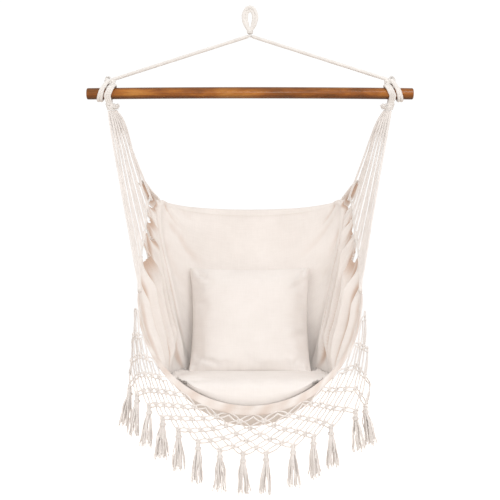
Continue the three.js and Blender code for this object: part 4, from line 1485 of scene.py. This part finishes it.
def seat_points(squareness=4, dent=0.0, swell=1.0, bulge=0.0, settle=0.0):
    """The seat cushion laid in the sling, with the dent that the pillow presses into it."""
    size_x, size_y = SEAT_SIZE
    x, y = drawn_in(panels.a, panels.b)
    x, y = x * size_x / 2 * swell, y * size_y / 2
    v = 1 - (SEAT_SETBACK + size_y / 2 - y) / middle_line.length
    lift = CLOTH_THICKNESS * 4
    top = BAR_Z - SEAT_DROP + lift + SEAT_THICKNESS - settle
    angle = np.arcsin(x / side_line.at(v)[..., 0])
    for _ in range(30):
        high = sling_point(angle, v)[..., 2] > top - 1.4 * SEAM + 0.4 * settle
        angle = np.where(high, angle * 0.97, angle)
    below = sling_point(angle, v) + sling_normal(angle, v) * lift
    above = below.copy()
    fullness = crown(panels.a, panels.b, squareness)
    above[..., 2] = mix(below[..., 2] + SEAM, np.maximum(top, below[..., 2] + SEAM), fullness)
    if bulge:
        over = np.sqrt(fullness) * bulge
        above[..., 1] -= over * smooth((panels.b - 0.5) / 0.4)
        above[..., 0] += 0.6 * over * np.sign(panels.a) * smooth((abs(panels.a) - 0.5) / 0.4)
    rear = np.exp(-(((above[..., 1] - DENT_Y) / DENT_REACH) ** 2)) * crown(panels.a, panels.b)
    above[..., 2] -= dent * rear
    return panels.points(above, below)


pillow_shift = puckers("pillow_panels", PILLOW_SIZE, PILLOW_THICKNESS, 4)
pillow_shift = relaxed(pillow_shift, PILLOW_PUCKER)
pillow_rest = stuffed_shape(PILLOW_SIZE, PILLOW_THICKNESS)
pillow_place = onto(pillow_points(pillow_rest), "back_pillow_cover")
pillow_full = (pillow_rest + pillow_shift) * (*PILLOW_SWELL, 1)
pillow_full[: panels.a.size, 2] += seam_ripples(PILLOW_SIZE, 3).ravel()
for row in PILLOW_CREASES:
    press_crease(pillow_full, *row)
pillow_low = pillow_points(pillow_full, BELLY_SAG, PILLOW_SPREAD)
pillow_low = pillow_low + pillow_place - (0, 0, PILLOW_SINK)
pillow = cushion_object("pillow_cover", pillow_low, PILLOW_SIZE)
piece(pillow, "back_pillow", "cushion_cloth", "back_pillow_cover", "back_pillow_filling")

seat_shift = relaxed(puckers("seat_panels", SEAT_SIZE, SEAT_THICKNESS * 0.7, 9), SEAT_PUCKER)
seat_place = onto(seat_points(), "seat_cushion_cover")
seat_shift[: panels.a.size, 2] += 2 * seam_ripples(SEAT_SIZE, 8).ravel()
for row in SEAT_CREASES:
    press_crease(seat_shift, *row)
seat_rim = smooth((np.maximum(abs(panels.a), abs(panels.b)) - 0.8) / 0.18).ravel()
seat_shift[: panels.a.size] *= 1 - (0.85, 0.85, 0.5) * seat_rim[:, None]
seat_shift[panels.a.size :] = 0
seat_full = seat_points(7, SEAT_DENT, SEAT_SWELL, SEAT_BULGE, SEAT_SETTLE)
seat_full += seat_shift * (1, 1, 0.6) + seat_place
seat = cushion_object("seat_cover", seat_full, SEAT_SIZE)
piece(seat, "seat_cushion", "cushion_cloth", "seat_cushion_cover", "seat_cushion_filling")


ZIP_HALF = 135 * MM


def zip_coil(name, rim_points):
    """The closed zip in a cover's seam: two interlocking coils along the rim."""
    path = rim_points[np.abs(rim_points[:, 0]) < ZIP_HALF]
    return ropes(name, [Line(path, 4).at(np.linspace(0, 1, 80))], zip_tape, ZIP_COIL)


pillow_zip = zip_coil("pillow_zip", pillow_low[panels.top[0]])
piece(pillow_zip, "back_pillow", "zip_tape", "back_pillow_zip")
seat_zip = zip_coil("seat_zip", seat_full[panels.top[0]])
piece(seat_zip, "seat_cushion", "zip_tape", "seat_cushion_zip")


# Studio: camera, white surroundings, soft lights and a pale floor
WORLD_STRENGTH = 0.9
BACKDROP_STRENGTH = 1.05
WARM_WHITE = (1, 0.955, 0.92, 1)
COOL_WHITE = (0.95, 0.98, 1)
LIGHT_TARGET = Vector((0, 0, -0.85))
SOFT_LIGHTS = [
    ("key light", (1.3, -2.6, 1.3), 1.1, 22),
    ("fill light", (-2.6, -2.4, 0.1), 1.8, 9),
    ("front light", (0.1, -2.8, -0.1), 0.25, 7),
]
FLOOR_Z = -1.9
FLOOR_RADIUS = 6
FLOOR_SIDES = 64


def studio():
    camera = link(bpy.data.objects.new("camera", bpy.data.cameras.new("camera")))
    camera.data.sensor_width = SENSOR
    camera.data.lens = SENSOR * CAMERA_DISTANCE / PHOTO_SPAN
    camera.location = (0, -CAMERA_DISTANCE, CAMERA_HEIGHT)
    camera.rotation_euler = (math.radians(90), 0, 0)
    scene.camera = camera
    world = bpy.data.worlds.new("white studio")
    scene.world = world
    world.use_nodes = True
    tree = world.node_tree
    seen = add(tree, "ShaderNodeLightPath").outputs["Is Camera Ray"]
    backdrop = tree.nodes["Background"]
    more = math_node(tree, "MULTIPLY", seen, BACKDROP_STRENGTH - WORLD_STRENGTH)
    strength = math_node(tree, "ADD", more, WORLD_STRENGTH)
    tree.links.new(strength, backdrop.inputs["Strength"])
    given = {"Factor": seen, 6: WARM_WHITE, 7: (1, 1, 1, 1)}
    colour = add(tree, "ShaderNodeMix", given, data_type="RGBA")
    tree.links.new(colour.outputs[2], backdrop.inputs["Color"])
    for name, place, size, power in SOFT_LIGHTS:
        lamp = link(bpy.data.objects.new(name, bpy.data.lights.new(name, "AREA")))
        lamp.data.size = size
        lamp.data.energy = power
        lamp.data.color = COOL_WHITE
        lamp.location = place
        aim = LIGHT_TARGET - Vector(place)
        lamp.rotation_euler = aim.to_track_quat("-Z", "Y").to_euler()
    scene.view_settings.view_transform = "Standard"


studio()
turns = np.linspace(0, math.tau, FLOOR_SIDES, endpoint=False)
ring = [(FLOOR_RADIUS * math.cos(t), FLOOR_RADIUS * math.sin(t), FLOOR_Z) for t in turns]
floor = paint(mesh_object("floor", ring, [tuple(range(FLOOR_SIDES))]), floor_material())

# Bring the view layer up to date
bpy.context.view_layer.update()
